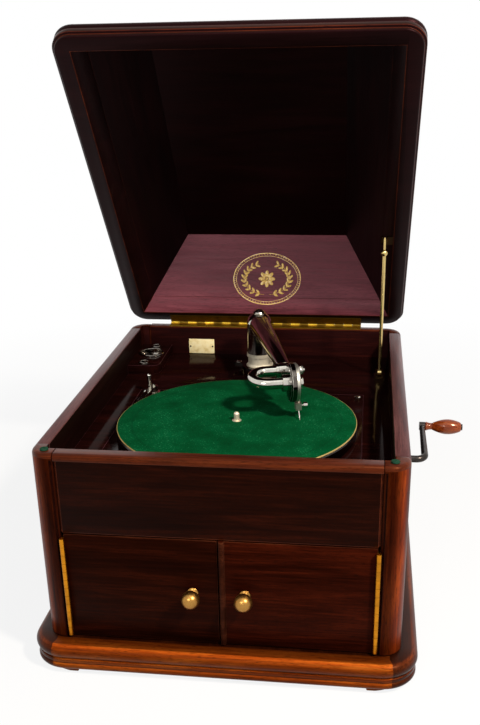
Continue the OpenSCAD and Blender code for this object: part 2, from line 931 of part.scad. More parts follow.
module crank() {
  rb = 12;
  x0 = wind_x + 30;
  pin_len = eye_half + grip_len + 2 * pass;
  color(steel)
    crank_pose() {
      translate([x0, 0, 0]) along_b() cylinder(r = crank_rod_r, h = crank_x - rb - x0);
      translate([crank_x - rb, rb, 0]) rotate(-90) bend(rb, crank_rod_r);
      translate([crank_x, rb, 0])
        rotate([-90, 0, 0]) cylinder(r1 = crank_rod_r, r2 = 3.8, h = crank_throw - rb);
      translate([crank_x - eye_half, crank_throw, 0]) along_b() cylinder(r = 6, h = 2 * eye_half);
      translate([crank_x, crank_throw, 0]) along_b() cylinder(r = 3.2, h = pin_len + 1);
      translate([crank_x + pin_len, crank_throw, 0]) along_b() cylinder(r = 4.5, h = 1.5);
    }
}

module crank_grip() {
  n = 16;
  neck = 9.5;
  swell = function (t) 4.7 + (grip_r - 4.7) * sin(168 * t) ^ 0.9;
  color("#8a3a1c")
    crank_pose()
      translate([crank_x + eye_half + pass, crank_throw, 0])
        along_b()
          rotate_extrude()
            polygon(concat([[3.2 + run, 0], [5.4, 0], [6.2, 0.8], [6.1, 2.2], [5.2, 4.5], [4.7, neck]],
              [for (i = [1:n]) [swell(i / n), neck + (grip_len - neck) * i / n]], [[3.2 + run, grip_len]]));
}

module winding_shaft() {
  pinion_len = 7;
  x0 = wind_x - 20;
  color(steel)
    translate([0, crank_y, crank_z])
      along_b()
        difference() {
          union() {
            translate([0, 0, x0]) cylinder(r = 4, h = 20);
            translate([0, 0, wind_x - pinion_len / 2]) spur(wind_pinion_n, wind_m, pinion_len, 0);
            translate([0, 0, wind_x]) cylinder(r = 6, h = 54);
            translate([0, 0, wind_x + 27]) cylinder(r = 9, h = 14);
          }
          translate([0, 0, wind_x + 30]) cylinder(r = crank_rod_r, h = 30);
        }
}

// Turntable

module platter() {
  color(steel)
    translate([tt[0], tt[1], 0])
      rotate_extrude($fn = 96)
        polygon([[6, deck_z + 5], [14, deck_z + 5], [16, felt_z - 5], [tt_r - 3, felt_z - 5],
          [tt_r - 3, deck_z + 4], [tt_r, deck_z + 4], [tt_r, felt_z - 3.5],
          [tt_r - 1.5, felt_z - 2], [6, felt_z - 2]]);
}

module felt() {
  color(felt_green)
    translate([tt[0], tt[1], felt_z - 2])
      difference() {
        cylinder(r = tt_r - 0.5, h = 2, $fn = 96);
        translate([0, 0, -1]) cylinder(r = 6, h = 4);
      }
}

module spindle() {
  top = felt_z + pin_rise;
  color(nickel)
    translate([tt[0], tt[1], 0]) {
      translate([0, 0, frame_z + 1]) cylinder(r = 3, h = 12);
      translate([0, 0, frame_z + 10]) cylinder(r = 5, h = deck_z - frame_z);
      translate([0, 0, deck_z + 5]) cylinder(r = 6, h = felt_rise - 5);
      translate([0, 0, felt_z - 1]) cylinder(r = pin_r, h = pin_rise - 1);
      translate([0, 0, top - 2]) cylinder(r1 = pin_r, r2 = pin_r - 1.5, h = 2);
      translate([0, 0, wheel_z]) spur(spindle_n, idler_m, 7, 0);
      translate([0, 0, worm_z - 2.5])
        linear_extrude(5)
          polygon([for (i = [0:worm_n * 8 - 1])
            let (a = i * 360 / (worm_n * 8))
              (worm_m * worm_n / 2 - 0.1 - 0.8 * cos(worm_n * (a - 180))) * [cos(a), sin(a)]]);
    }
}

// Tonearm and sound box, drawn about the pillar's axis at the tube's height

module tonearm() {
  seat = deck_z + base_h + pass - arm_z;
  color(nickel)
    arm_pose()
      difference() {
        union() {
          translate([0, 0, seat]) cylinder(r = 19, h = -seat);
          sphere(r = 19);
          translate([0, 0, seat - 20]) cylinder(r = spigot_r, h = 22);
          rotate([90, 0, 0]) cylinder(r1 = 16.5, r2 = 9, h = swivel_a - 6);
          translate([-swivel_half, -swivel_a, 0]) along_b() cylinder(r = neck_r + 3, h = 2 * swivel_half + 1);
        }
        translate([0, 0, seat - 30]) cylinder(r = 11.5, h = 30 - seat);
        rotate([90, 0, 0]) cylinder(r1 = 13.5, r2 = neck_r - 1, h = swivel_a);
        translate([-20, -swivel_a, 0]) along_b() cylinder(r = neck_r + run, h = 20 + swivel_bore);
      }
}

module tonearm_cap() {
  color(nickel)
    arm_pose()
      difference() {
        translate([0, 0, 17])
          rotate_extrude()
            polygon(concat([[0, 0], [8.5, 0], [9.5, 1.2]], arc([0, -3], 9.6, 26, 90)));
        sphere(r = 19);
      }
}

module neck_path(r, over) {
  bend_r = leg_gap / 2;
  translate([-neck_out, 0, 0]) along_b() cylinder(r = r, h = neck_out + swivel_bore - pass + over);
  translate([-neck_out, -bend_r, 0])
    rotate(90)
      rotate_extrude(angle = 180)
        translate([bend_r, 0]) circle(r);
  translate([-neck_out, -leg_gap, 0]) along_b() cylinder(r = r, h = neck_out + box_b + over);
}

module gooseneck() {
  color(nickel)
    arm_pose()
      translate([0, -swivel_a, 0])
        rotate([neck_tilt, 0, 0])
          difference() {
            union() {
              neck_path(neck_r, 0);
              translate([-swivel_half - 3.5, 0, 0]) along_b() cylinder(r = neck_r + 2.5, h = 3);
              translate([box_b - 8, -leg_gap, 0]) along_b() cylinder(r = neck_r + 4, h = 8);
            }
            neck_path(neck_r - 2, 1);
          }
}

module box_pose() {
  arm_pose() translate([box_b, -box_a, box_z]) along_b() children();
}

module soundbox() {
  color(nickel)
    box_pose()
      difference() {
        rotate_extrude($fn = 72)
          polygon(concat([[neck_r - 2, 0], [box_r - 2, 0], [box_r, 2], [box_r, box_t - 2]],
            arc([box_r - 2, box_t - 2], 2, 0, 90, 4),
            [[box_r - 5, box_t], [box_r - 6, box_t - 1.5], [box_r - 6, 7.8], [box_r - 3, 7.8], [box_r - 3, 7],
             [box_r - 6, 7], [box_r - 6, 2], [neck_r - 2, 2]]));
      }
}

module diaphragm() {
  color("#d8d2b8") box_pose() translate([0, 0, 7]) cylinder(r = box_r - 3, h = 0.8);
}

// Lever from the diaphragm's centre out over the case's edge to the needle socket; x is down here
module stylus_bar() {
  color(nickel)
    box_pose()
      difference() {
        union() {
          translate([0, 0, 7.8]) cylinder(r = 1.6, h = box_t - 5);
          translate([0, 0, box_t + 0.6]) cylinder(r = 4, h = 2.6);
          block(0, box_r + 6, -1.5, 1.5, box_t + 0.6, box_t + 2.6);
          block(box_r - 3, box_r - 1, -6, 6, box_t, box_t + 2.6);
          block(box_r + 2, box_r + 11, -7, 4, box_t - 3, box_t + 4.5);
        }
        translate([box_r + 5, 0, box_t + 0.75])
          rotate([0, 90, 0]) rotate([needle_lean, 0, 0]) cylinder(r = 0.8, h = 20);
      }
}

module needle() {
  reach = (arm_z + box_z - box_r - 5 - felt_z - pass) / cos(needle_lean);
  color(nickel)
    box_pose()
      translate([box_r + 5, 0, box_t + 0.75])
        rotate([0, 90, 0])
          rotate([needle_lean, 0, 0]) {
            cylinder(r = 0.8, h = reach - 5);
            translate([0, 0, reach - 5]) cylinder(r1 = 0.8, r2 = 0.1, h = 5);
          }
}

module needle_screw() {
  color(nickel)
    box_pose()
      translate([box_r + 7, 0, box_t + 4.5 + pass]) {
        cylinder(r = 1.6, h = 4);
        translate([0, 0, 3]) cylinder(r = 4, h = 5);
      }
}

module brake_lever() {
  color(nickel)
    translate([brake_at[0], brake_at[1], deck_z + 8 + pass])
      rotate(brake_dir)
        difference() {
          union() {
            cylinder(r = 6, h = 3);
            block(0, brake_len, -3.5, 3.5, 0, 3);
            translate([brake_len, 0, -4]) cylinder(r = brake_pad_r, h = 9);
            rotate(146 - brake_dir) {
              block(0, 9, -3, 3, 0, 3);
              translate([9, 0, 0]) cylinder(r = 3, h = 16);
              translate([9, 0, 16]) sphere(r = 3);
            }
          }
          translate([0, 0, -1]) cylinder(r = 2.5 + run, h = 10);
        }
}

module speed_lever() {
  low = worm_z - 2;
  color(steel)
    translate([speed_at[0], speed_at[1], 0]) {
      translate([0, 0, low]) cylinder(r = 3, h = deck_z + 2.5 - low);
      rotate(speed_dir) {
        block(0, speed_len, -4, 4, deck_z + 0.5, deck_z + 2.5);
        translate([speed_len, 0, deck_z + 0.5]) cylinder(r = 5, h = 15);
      }
      block(0, governor_x - speed_at[0] - 8, -2, 2, low, low + 5);
      block(governor_x - speed_at[0] - 16, governor_x - speed_at[0] - 8,
        0, disc_y - speed_at[1] - 1 - pass, low, low + 5);
    }
}

// Spring motor

module spring_barrel() {
  gear_h = 5;
  color(brass)
    translate([barrel_at[0], barrel_at[1], barrel_z])
      difference() {
        union() {
          cylinder(r = drum_r, h = drum_h);
          translate([0, 0, drum_h]) spur(barrel_n, barrel_m, gear_h, 0);
        }
        translate([0, 0, -1]) cylinder(r = drum_r - 2.5, h = drum_h + 1);
        translate([0, 0, -1]) cylinder(r = 5 + run, h = drum_h + 20);
      }
}

module mainspring() {
  turns = 9;
  r0 = 14;
  r1 = drum_r - 3.1;
  t = 0.8;
  n = turns * 18;
  spiral = function (i, o) (r0 + (r1 - r0) * i / n + o) * [cos(i * 20), sin(i * 20)];
  color("#6a6f78")
    translate([barrel_at[0], barrel_at[1], barrel_z + 1])
      linear_extrude(drum_h - 1)
        polygon(concat([for (i = [0:n]) spiral(i, 0)], [for (i = [n:-1:0]) spiral(i, -t)]));
}

module spring_arbor() {
  wheel_top = crank_z - wind_pinion_r - 1.4 * wind_m;
  tooth = PI * wind_m;
  color(steel)
    translate([barrel_at[0], barrel_at[1], 0]) {
      translate([0, 0, frame_z + 0.5]) cylinder(r = 5, h = wheel_top - frame_z - 0.5);
      translate([0, 0, wheel_top - 4]) cylinder(r = wind_r + 2.5, h = 4);
      for (i = [0:wind_n - 1])
        rotate((i + 0.5) * 360 / wind_n)
          translate([wind_r - 2.5, 0, wheel_top - 0.5])
            rotate([90, 0, 90])
              linear_extrude(5)
                polygon([[-tooth * 0.26, 0], [tooth * 0.26, 0],
                  [tooth * 0.1, 1.8 * wind_m], [-tooth * 0.1, 1.8 * wind_m]]);
    }
}

module idler() {
  barrel_way = atan2(barrel_at[1] - idler_at[1], barrel_at[0] - idler_at[0]);
  spindle_way = atan2(tt[1] - idler_at[1], tt[0] - idler_at[0]);
  color(brass)
    translate([idler_at[0], idler_at[1], 0]) {
      translate([0, 0, frame_z + 0.5]) cylinder(r = 3, h = plate_z1 - frame_z - 1);
      translate([0, 0, barrel_z + drum_h - 1])
        spur(idler_pinion_n, barrel_m, 12, mesh(barrel_n, 0, idler_pinion_n, barrel_way + 180));
      translate([0, 0, wheel_z + 1])
        spur(idler_n, idler_m, 5, mesh(spindle_n, 0, idler_n, spindle_way + 180));
    }
}

module governor() {
  pitch = PI * worm_m;
  len = 4 * pitch;
  color(brass)
    translate([governor_x, 0, worm_z]) {
      translate([0, governor_front, 0])
        rotate([-90, 0, 0]) cylinder(r = shaft_r, h = governor_back - governor_front);
      translate([0, tt_y + len / 2, 0])
        rotate([90, 0, 0])
          linear_extrude(len, twist = -4 * 360, slices = 40)
            translate([worm_e, 0]) circle(worm_r - worm_e + 0.6, $fn = 14);
      for (y = [disc_y, tt_y - 25])
        translate([0, y - 3, 0]) rotate([-90, 0, 0]) cylinder(r = 7, h = 6);
      translate([0, disc_y - 1, 0]) rotate([-90, 0, 0]) cylinder(r = 15, h = 2);
      for (i = [0:2])
        rotate([0, i * 120, 0]) {
          translate([17, ball_y, 0]) sphere(r = 7.5);
          for (s = [-1, 1])
            translate([11.5, ball_y + s * 11, 0]) rotate(s * 25.5) cube([1, 26, 5], center = true);
        }
    }
}

feet();
plinth();
bottom_board();
corner_posts();
front_rail();
left_side();
right_side();
back_panel();
deck();
deck_bearers();
motor_board();
deck_screws();
horn_cheeks();
horn_roof();
horn_throat();
needle_shelf();
needle_cups();
lid_pads();
lid_hinge_fixed();
door_hinges_fixed();
stay_socket();
crank_bush();
tonearm_base();
brake_post();
motor_plate();
motor_frame();
lid_rim();
lid_ends();
lid_sides();
lid_top();
lid_hinge_leaf();
lid_stay_catch();
lid_stay();
left_door();
right_door();
left_knob();
right_knob();
left_door_leaf();
right_door_leaf();
crank();
winding_shaft();
crank_grip();
platter();
felt();
spindle();
tonearm();
tonearm_cap();
gooseneck();
soundbox();
diaphragm();
stylus_bar();
needle();
needle_screw();
brake_lever();
speed_lever();
spring_barrel();
mainspring();
spring_arbor();
idler();
governor();
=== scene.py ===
"""Looks of the table gramophone: polished mahogany, green felt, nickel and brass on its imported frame."""
from math import cos, pi, radians, sin

import bpy
from mathutils import Matrix, Vector


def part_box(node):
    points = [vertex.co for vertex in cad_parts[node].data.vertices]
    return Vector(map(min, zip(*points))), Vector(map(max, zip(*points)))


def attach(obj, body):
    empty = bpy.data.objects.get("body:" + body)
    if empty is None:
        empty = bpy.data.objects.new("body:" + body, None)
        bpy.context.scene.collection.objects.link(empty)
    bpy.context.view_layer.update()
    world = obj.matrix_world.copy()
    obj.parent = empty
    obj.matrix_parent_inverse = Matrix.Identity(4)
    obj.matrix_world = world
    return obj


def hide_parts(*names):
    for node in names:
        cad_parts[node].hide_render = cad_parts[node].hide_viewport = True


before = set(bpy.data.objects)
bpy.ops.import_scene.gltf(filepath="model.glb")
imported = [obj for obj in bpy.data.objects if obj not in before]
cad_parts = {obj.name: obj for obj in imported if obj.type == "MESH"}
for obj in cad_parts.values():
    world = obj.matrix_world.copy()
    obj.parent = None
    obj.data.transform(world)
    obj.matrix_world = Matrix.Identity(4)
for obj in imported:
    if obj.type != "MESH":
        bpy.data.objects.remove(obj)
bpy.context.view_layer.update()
scene = bpy.context.scene
MM = 0.001


def linear(code):
    """Turns an sRGB hex colour into the linear one that sockets take."""
    parts = [int(code[i:i + 2], 16) / 255 for i in (1, 3, 5)]
    return (*[c / 12.92 if c <= 0.04045 else ((c + 0.055) / 1.055) ** 2.4 for c in parts], 1)


def add(tree, kind, sockets=None, stops=None, **settings):
    """Adds a node: its settings, its socket values or the outputs linked in, and a ramp's stops."""
    node = tree.nodes.new("ShaderNode" + kind)
    for key, value in settings.items():
        setattr(node, key, value)
    for key, value in (sockets or {}).items():
        if isinstance(value, bpy.types.NodeSocket):
            tree.links.new(value, node.inputs[key])
        else:
            node.inputs[key].default_value = value
    if stops:
        ends = node.color_ramp.elements
        ends[0].position, ends[0].color = stops[0]
        ends[-1].position, ends[-1].color = stops[-1]
        for place, colour in stops[1:-1]:
            ends.new(place).color = colour
    return node


def surface(name):
    """Starts a material, and gives its tree and its object coordinates."""
    material = bpy.data.materials.new(name)
    material.use_nodes = True
    tree = material.node_tree
    tree.nodes.clear()
    return material, tree, add(tree, "TexCoord").outputs["Object"]


def show(tree, sockets):
    """Ends a material with its shader."""
    shader = add(tree, "BsdfPrincipled", sockets)
    add(tree, "OutputMaterial", {"Surface": shader.outputs[0]})


# Camera, light and floor

scene.view_settings.view_transform = "Standard"
# The photograph's view: turns in radians, place in metres, lens in millimetres, shift in picture heights
VIEW_YAW = 0.138774787
VIEW_PITCH = -0.408552484
VIEW_ROLL = 0.0206579495
VIEW_FROM = (0.1587, -1.1902, 0.7156)
VIEW_LENS = 46.48
VIEW_SHIFT = 80 / 725
WHITE = linear("#ffffff")
ROOM_LIGHT = 0.14
FLOOR_WIDE = 8
FLOOR_Z = -0.0005


def place_camera():
    """The photograph's own view, fitted to the rim, the doors, the plinth and the propped lid."""
    turn = Matrix.Rotation(VIEW_YAW, 3, "Z") @ Matrix.Rotation(VIEW_PITCH, 3, "X")
    turn = (turn @ Matrix.Rotation(VIEW_ROLL, 3, "Y")).transposed()
    right, ahead, up = turn[0], turn[1], turn[2]
    eye = Matrix((right, up, -ahead)).transposed().to_4x4()
    eye.translation = VIEW_FROM
    bpy.ops.object.camera_add()
    camera = bpy.context.object
    camera.name = "photograph_view"
    camera.matrix_world = eye
    camera.data.lens = VIEW_LENS
    camera.data.shift_y = VIEW_SHIFT
    scene.camera = camera


def lamp(name, way, far, size, watts, aim=(0, 0, 0.35), colour="#ffffff"):
    """A soft studio lamp that looks at the aim from a direction."""
    spot = Vector(aim) + Vector(way).normalized() * far
    bpy.ops.object.light_add(type="AREA", location=spot)
    light = bpy.context.object
    light.name = name
    light.rotation_euler = (Vector(aim) - spot).to_track_quat("-Z", "Y").to_euler()
    light.data.shape = "RECTANGLE"
    light.data.size, light.data.size_y = size
    light.data.energy = watts
    light.data.color = linear(colour)[:3]


def plain_rays(tree):
    """1 for the rays that see plain white around the object: the camera's, mirrored and transmitted ones."""
    path = add(tree, "LightPath").outputs
    seen = add(tree, "Math", {0: path["Is Camera Ray"], 1: path["Is Glossy Ray"]}, operation="MAXIMUM")
    seen = add(tree, "Math", {0: seen.outputs[0], 1: path["Is Transmission Ray"]}, operation="MAXIMUM")
    return seen.outputs[0]


def light_studio():
    """A small key from the front right, a wide lamp overhead, a window sheet in front, and an even room."""
    lamp("key", way=(0.6, -0.5, 0.74), far=2.4, size=(0.22, 0.22), watts=74, colour="#fff4e6")
    lamp("overhead", way=(0.05, -0.4, 0.92), far=2.3, size=(1.1, 1.1), watts=4)
    lamp("window", way=(-0.19, -0.87, 0.43), far=2.6, size=(0.8, 0.6), watts=12, aim=(0, 0.27, 0.36))
    world = bpy.data.worlds.new("studio")
    scene.world = world
    world.use_nodes = True
    tree = world.node_tree
    tree.nodes.clear()
    room = add(tree, "Background", {"Color": WHITE, "Strength": ROOM_LIGHT})
    white = add(tree, "Background", {"Color": WHITE, "Strength": 1})
    mix = add(tree, "MixShader", {0: plain_rays(tree), 1: room.outputs[0], 2: white.outputs[0]})
    add(tree, "OutputWorld", {"Surface": mix.outputs[0]})


def lay_floor():
    """Pale paper floor, lifted towards white for the eye and for reflections, with the shadow kept."""
    bpy.ops.object.select_all(action="DESELECT")
    bpy.ops.mesh.primitive_plane_add(size=FLOOR_WIDE, location=(0, 0, FLOOR_Z))
    floor = bpy.context.object
    floor.name = "paper_floor"
    material, tree, place = surface("white paper")
    # the shadow stays near the object, and the paper fades to plain white 1.4 m out
    radius = add(tree, "VectorMath", {0: place}, operation="LENGTH").outputs["Value"]
    fade = add(tree, "MapRange", {"Value": radius, "From Min": 0.5, "From Max": 1.4,
                                  "To Min": 0.86, "To Max": 1})
    lift = add(tree, "Math", {0: plain_rays(tree), 1: fade.outputs[0]}, operation="MULTIPLY")
    paper = add(tree, "BsdfDiffuse", {"Color": linear("#f2f2f0")})
    glow = add(tree, "Emission", {"Color": WHITE, "Strength": 1})
    mix = add(tree, "MixShader", {0: lift.outputs[0], 1: paper.outputs[0], 2: glow.outputs[0]})
    add(tree, "OutputMaterial", {"Surface": mix.outputs[0]})
    floor.data.materials.append(material)


place_camera()
light_studio()
lay_floor()

# Finishes

# Turns that lay the grain along an axis; the lid's boards are turned with the propped lid
LID_TILT = radians(54)
ALONG_X = (0, 0, 0)
ALONG_Y = (0, 0, radians(-90))
ALONG_Z = (0, radians(90), 0)
LID_ACROSS = (LID_TILT, 0, 0)
LID_ALONG = (LID_TILT, 0, radians(90))


def mahogany(name, turn, colours, polish, facing_light=None):
    """French-polished mahogany: ribbons about 20 mm wide, 2 mm streaks, short dark pores filled flush.

    colours run from dark to pale; polish is the specular level, its tint, and the roughness; the last
    argument is an axis and stops, how bright the stain is on faces that look along it, as painted light and
    shade: rounds kept bright, flats darkened.
    """
    material, tree, place = surface(name)
    grain = add(tree, "Mapping", {"Vector": place, "Rotation": turn}).outputs[0]
    # one ribbon is some 200 mm long and 20 mm wide
    run = add(tree, "Mapping", {"Vector": grain, "Scale": (5, 50, 50)}).outputs[0]
    ribbon = add(tree, "TexNoise", {"Vector": run, "Scale": 1, "Detail": 3, "Distortion": 0.9}).outputs[0]
    # streaks of 60 by 2 mm
    run = add(tree, "Mapping", {"Vector": grain, "Scale": (16, 480, 480)}).outputs[0]
    streak = add(tree, "TexNoise", {"Vector": run, "Scale": 1, "Detail": 2, "Roughness": 0.6}).outputs[0]
    # real pores are 0.2 mm wide, drawn at 0.8 mm by 9 mm so that they show
    run = add(tree, "Mapping", {"Vector": grain, "Scale": (110, 1250, 1250)}).outputs[0]
    pore = add(tree, "TexNoise", {"Vector": run, "Scale": 1, "Detail": 1}).outputs[0]
    figure = add(tree, "Mix", {0: 0.4, 2: ribbon, 3: streak})
    shades = [(stop, linear(code)) for stop, code in zip((0.34, 0.5, 0.66), colours)]
    wood = add(tree, "ValToRGB", {"Fac": figure.outputs[0]}, shades).outputs[0]
    dirt = add(tree, "MapRange", {"Value": pore, "From Min": 0.56, "From Max": 0.7})
    dirt = add(tree, "Math", {0: dirt.outputs[0], 1: 0.6}, operation="MULTIPLY").outputs[0]
    colour = add(tree, "Mix", {0: dirt, 6: wood, 7: linear("#0d0402")}, data_type="RGBA").outputs[2]
    # painted light and shade: the stain is multiplied by a grey that follows which way the face looks
    if facing_light:
        axis, stops = facing_light
        way = add(tree, "SeparateXYZ", {0: add(tree, "TexCoord").outputs["Normal"]})
        along = add(tree, "MapRange", {"Value": way.outputs[axis], "From Min": -1, "From Max": 1})
        greys = [((facing + 1) / 2, (grey, grey, grey, 1)) for facing, grey in stops]
        worn = add(tree, "ValToRGB", {"Fac": along.outputs[0]}, greys).outputs[0]
        worn = add(tree, "Mix", {0: 1, 6: colour, 7: worn}, data_type="RGBA", blend_type="MULTIPLY")
        colour = worn.outputs[2]
    level, tint, rough = polish
    wear = add(tree, "MapRange", {"Value": streak, "From Min": 0.3, "From Max": 0.7,
                                  "To Min": rough, "To Max": rough + 0.12})
    dent = add(tree, "Bump", {"Strength": 0.25, "Distance": 0.08 * MM, "Height": pore})
    show(tree, {"Base Color": colour, "Roughness": wear.outputs[0], "Normal": dent.outputs[0],
                "Specular IOR Level": level, "Specular Tint": linear(tint)})
    return material


def plated(name, colour, stain, rough, grime):
    """Polished plated or solid metal with faint hand marks, about 15 mm across, and specks of tarnish."""
    material, tree, place = surface(name)
    cloud = add(tree, "TexNoise", {"Vector": place, "Scale": 70, "Detail": 4, "Roughness": 0.65}).outputs[0]
    speck = add(tree, "TexNoise", {"Vector": place, "Scale": 900, "Detail": 2}).outputs[0]
    dull = add(tree, "MapRange", {"Value": cloud, "From Min": 0.4, "From Max": 0.75, "To Max": grime})
    spot = add(tree, "MapRange", {"Value": speck, "From Min": 0.6, "From Max": 0.72, "To Max": grime})
    worn = add(tree, "Math", {0: dull.outputs[0], 1: spot.outputs[0]}, operation="MAXIMUM")
    tone = add(tree, "Mix", {0: worn.outputs[0], 6: linear(colour), 7: linear(stain)}, data_type="RGBA")
    smear = add(tree, "MapRange", {"Value": cloud, "From Min": 0.3, "From Max": 0.7,
                                   "To Min": rough, "To Max": rough * 1.4 + 0.03})
    show(tree, {"Base Color": tone.outputs[2], "Metallic": 1, "Roughness": smear.outputs[0]})
    return material


def iron_castings():
    """Japanned cast iron: black baked varnish over a sand-cast skin with 1 mm pimples."""
    material, tree, place = surface("japanned cast iron")
    sand = add(tree, "TexNoise", {"Vector": place, "Scale": 900, "Detail": 3})
    patch = add(tree, "TexNoise", {"Vector": place, "Scale": 45, "Detail": 3})
    shades = [(0.35, linear("#0d0c0b")), (0.7, linear("#211e1b"))]
    tone = add(tree, "ValToRGB", {"Fac": patch.outputs[0]}, shades)
    skin = add(tree, "Bump", {"Strength": 0.5, "Distance": 0.15 * MM, "Height": sand.outputs[0]})
    show(tree, {"Base Color": tone.outputs[0], "Roughness": 0.42, "Normal": skin.outputs[0]})
    return material


def deal_boards():
    """Deal stained brown inside the cabinet: paler early wood, darker late wood every 4 mm, matt."""
    material, tree, place = surface("stained deal")
    run = add(tree, "Mapping", {"Vector": place, "Scale": (12, 120, 120)}).outputs[0]
    ring = add(tree, "TexNoise", {"Vector": run, "Scale": 2, "Detail": 3, "Distortion": 0.5}).outputs[0]
    shades = [(0.35, linear("#3c2112")), (0.52, linear("#5b3419")), (0.68, linear("#6f4522"))]
    tone = add(tree, "ValToRGB", {"Fac": ring}, shades)
    rise = add(tree, "Bump", {"Strength": 0.3, "Distance": 0.2 * MM, "Height": ring})
    show(tree, {"Base Color": tone.outputs[0], "Roughness": 0.7, "Normal": rise.outputs[0],
                "Specular IOR Level": 0.25})
    return material


def wool_felt(name, greens, centre, edge_radius):
    """Pressed green wool felt: matted fibre, paler lint, a ring worn by records, a tan cut edge."""
    material, tree, place = surface(name)
    # 0.7 mm fibres, coarser than real ones so that they show
    fibre = add(tree, "TexNoise", {"Vector": place, "Scale": 1400, "Detail": 3, "Roughness": 0.7}).outputs[0]
    cloud = add(tree, "TexNoise", {"Vector": place, "Scale": 28, "Detail": 4, "Roughness": 0.6}).outputs[0]
    matted = add(tree, "Mix", {0: 0.65, 2: cloud, 3: fibre})
    shades = [(stop, linear(code)) for stop, code in zip((0.36, 0.5, 0.64), greens)]
    green = add(tree, "ValToRGB", {"Fac": matted.outputs[0]}, shades).outputs[0]
    # lint and dust: pale flecks about 1.5 mm across, thicker in some patches
    fleck = add(tree, "TexNoise", {"Vector": place, "Scale": 420, "Detail": 1})
    thick = add(tree, "MapRange", {"Value": cloud, "From Min": 0.3, "From Max": 0.7,
                                   "To Min": 0.74, "To Max": 0.6})
    lint = add(tree, "Math", {0: fleck.outputs[0], 1: thick.outputs[0]}, operation="SUBTRACT").outputs[0]
    lint = add(tree, "MapRange", {"Value": lint, "From Min": 0, "From Max": 0.06, "To Max": 0.4}).outputs[0]
    green = add(tree, "Mix", {0: lint, 6: green, 7: linear("#3f9a6c")}, data_type="RGBA").outputs[2]
    # a ring 3 to 5 mm wide, pressed by records
    flat = add(tree, "Mapping", {"Vector": place, "Location": (-centre[0], -centre[1], 0),
                                 "Scale": (1, 1, 0)})
    radius = add(tree, "VectorMath", {0: flat.outputs[0]}, operation="LENGTH").outputs["Value"]
    off = add(tree, "Math", {0: radius, 1: edge_radius * 0.875}, operation="SUBTRACT").outputs[0]
    off = add(tree, "Math", {0: off}, operation="ABSOLUTE").outputs[0]
    worn = add(tree, "MapRange", {"Value": off, "From Min": 0.0005, "From Max": 0.0025,
                                  "To Min": 0.4, "To Max": 0}).outputs[0]
    green = add(tree, "Mix", {0: worn, 6: green, 7: linear("#02331a")}, data_type="RGBA").outputs[2]
    # the cut edge, tan over its last millimetre
    rim = add(tree, "MapRange", {"Value": radius, "From Min": edge_radius - 0.0012,
                                 "From Max": edge_radius - 0.0006}).outputs[0]
    colour = add(tree, "Mix", {0: rim, 6: green, 7: linear("#b09a62")}, data_type="RGBA").outputs[2]
    nap = add(tree, "Bump", {"Strength": 0.6, "Distance": 0.35 * MM, "Height": fibre})
    show(tree, {"Base Color": colour, "Roughness": 0.95, "Normal": nap.outputs[0],
                "Specular IOR Level": 0.03, "Sheen Weight": 0.02, "Sheen Roughness": 0.5,
                "Sheen Tint": linear("#2f9a5c")})
    return material


def mica_sheet():
    """Mica: a thin split sheet, amber, clear, with cleavage clouds about 5 mm across."""
    material, tree, place = surface("mica")
    cloud = add(tree, "TexNoise", {"Vector": place, "Scale": 200, "Detail": 3})
    shades = [(0.3, linear("#b9ad84")), (0.7, linear("#e3dcc0"))]
    tone = add(tree, "ValToRGB", {"Fac": cloud.outputs[0]}, shades)
    show(tree, {"Base Color": tone.outputs[0], "Roughness": 0.12, "Transmission Weight": 0.45, "IOR": 1.58})
    return material


def ivory_plate():
    """Yellowed ivory celluloid: cream with broad stains, a soft gloss."""
    material, tree, place = surface("ivory celluloid")
    stain = add(tree, "TexNoise", {"Vector": place, "Scale": 130, "Detail": 4})
    shades = [(0.3, linear("#e6cf90")), (0.5, linear("#fbeab4")), (0.75, linear("#fff3c8"))]
    tone = add(tree, "ValToRGB", {"Fac": stain.outputs[0]}, shades)
    show(tree, {"Base Color": tone.outputs[0], "Roughness": 0.35, "Specular IOR Level": 0.4})
    return material


def gilt_leaf():
    """Gilt transfer: gold powder under varnish, mottled where it has rubbed, 3 mm patches."""
    material, tree, place = surface("gilt transfer")
    rub = add(tree, "TexNoise", {"Vector": place, "Scale": 350, "Detail": 4, "Roughness": 0.7})
    shades = [(0.3, linear("#7a5418")), (0.48, linear("#c99a34")), (0.7, linear("#e8c460"))]
    tone = add(tree, "ValToRGB", {"Fac": rub.outputs[0]}, shades)
    show(tree, {"Base Color": tone.outputs[0], "Roughness": 0.45, "Metallic": 0.35,
                "Coat Weight": 0.4, "Coat Roughness": 0.08})
    return material


# Stains, from dark to pale
VENEER = ("#100301", "#1b0602", "#2b0c04")
# Painted light: a paler, redder copy of the veneer for the right door, which the light from the right falls
# on
RIGHT_DOOR_LIT = ("#180401", "#280903", "#3d1206")
SOLID = ("#7e2f08", "#aa4a10", "#cf6b1f")
# Painted shade: a darker copy of the plinth's stain for its sides and most of its corners
SOLID_SIDE_SHADED = ("#3c1608", "#56230d", "#743516")
POST = ("#3a1103", "#642207", "#8f3c0f")
ARRIS = ("#210c06", "#34160c", "#4b2515")
# Painted light: a paler stain on the rim's top band and on arrises, where the rounds catch the light
RIM = ("#2e110a", "#461b0d", "#5e2912")
# Painted reflection: the rim's side runs stained mauve-grey, standing for a reflected pale sky
RIM_SIDE_REFLECTED = ("#32191a", "#4b2a29", "#643f3d")
# Painted shade: near-black copies of the walls' mahogany for the faces in the well, the sides darkest
WELL_SHADED = ("#110403", "#1d0706", "#2e0e09")
WELL_SIDE_SHADED = ("#080201", "#0e0403", "#170705")
DECK = ("#0d0302", "#170605", "#240a07")
# Painted highlight: pale pinkish arrises on the deck, the motor board and the needle shelf
DECK_EDGE_LIT = ("#241014", "#351a1f", "#49272c")
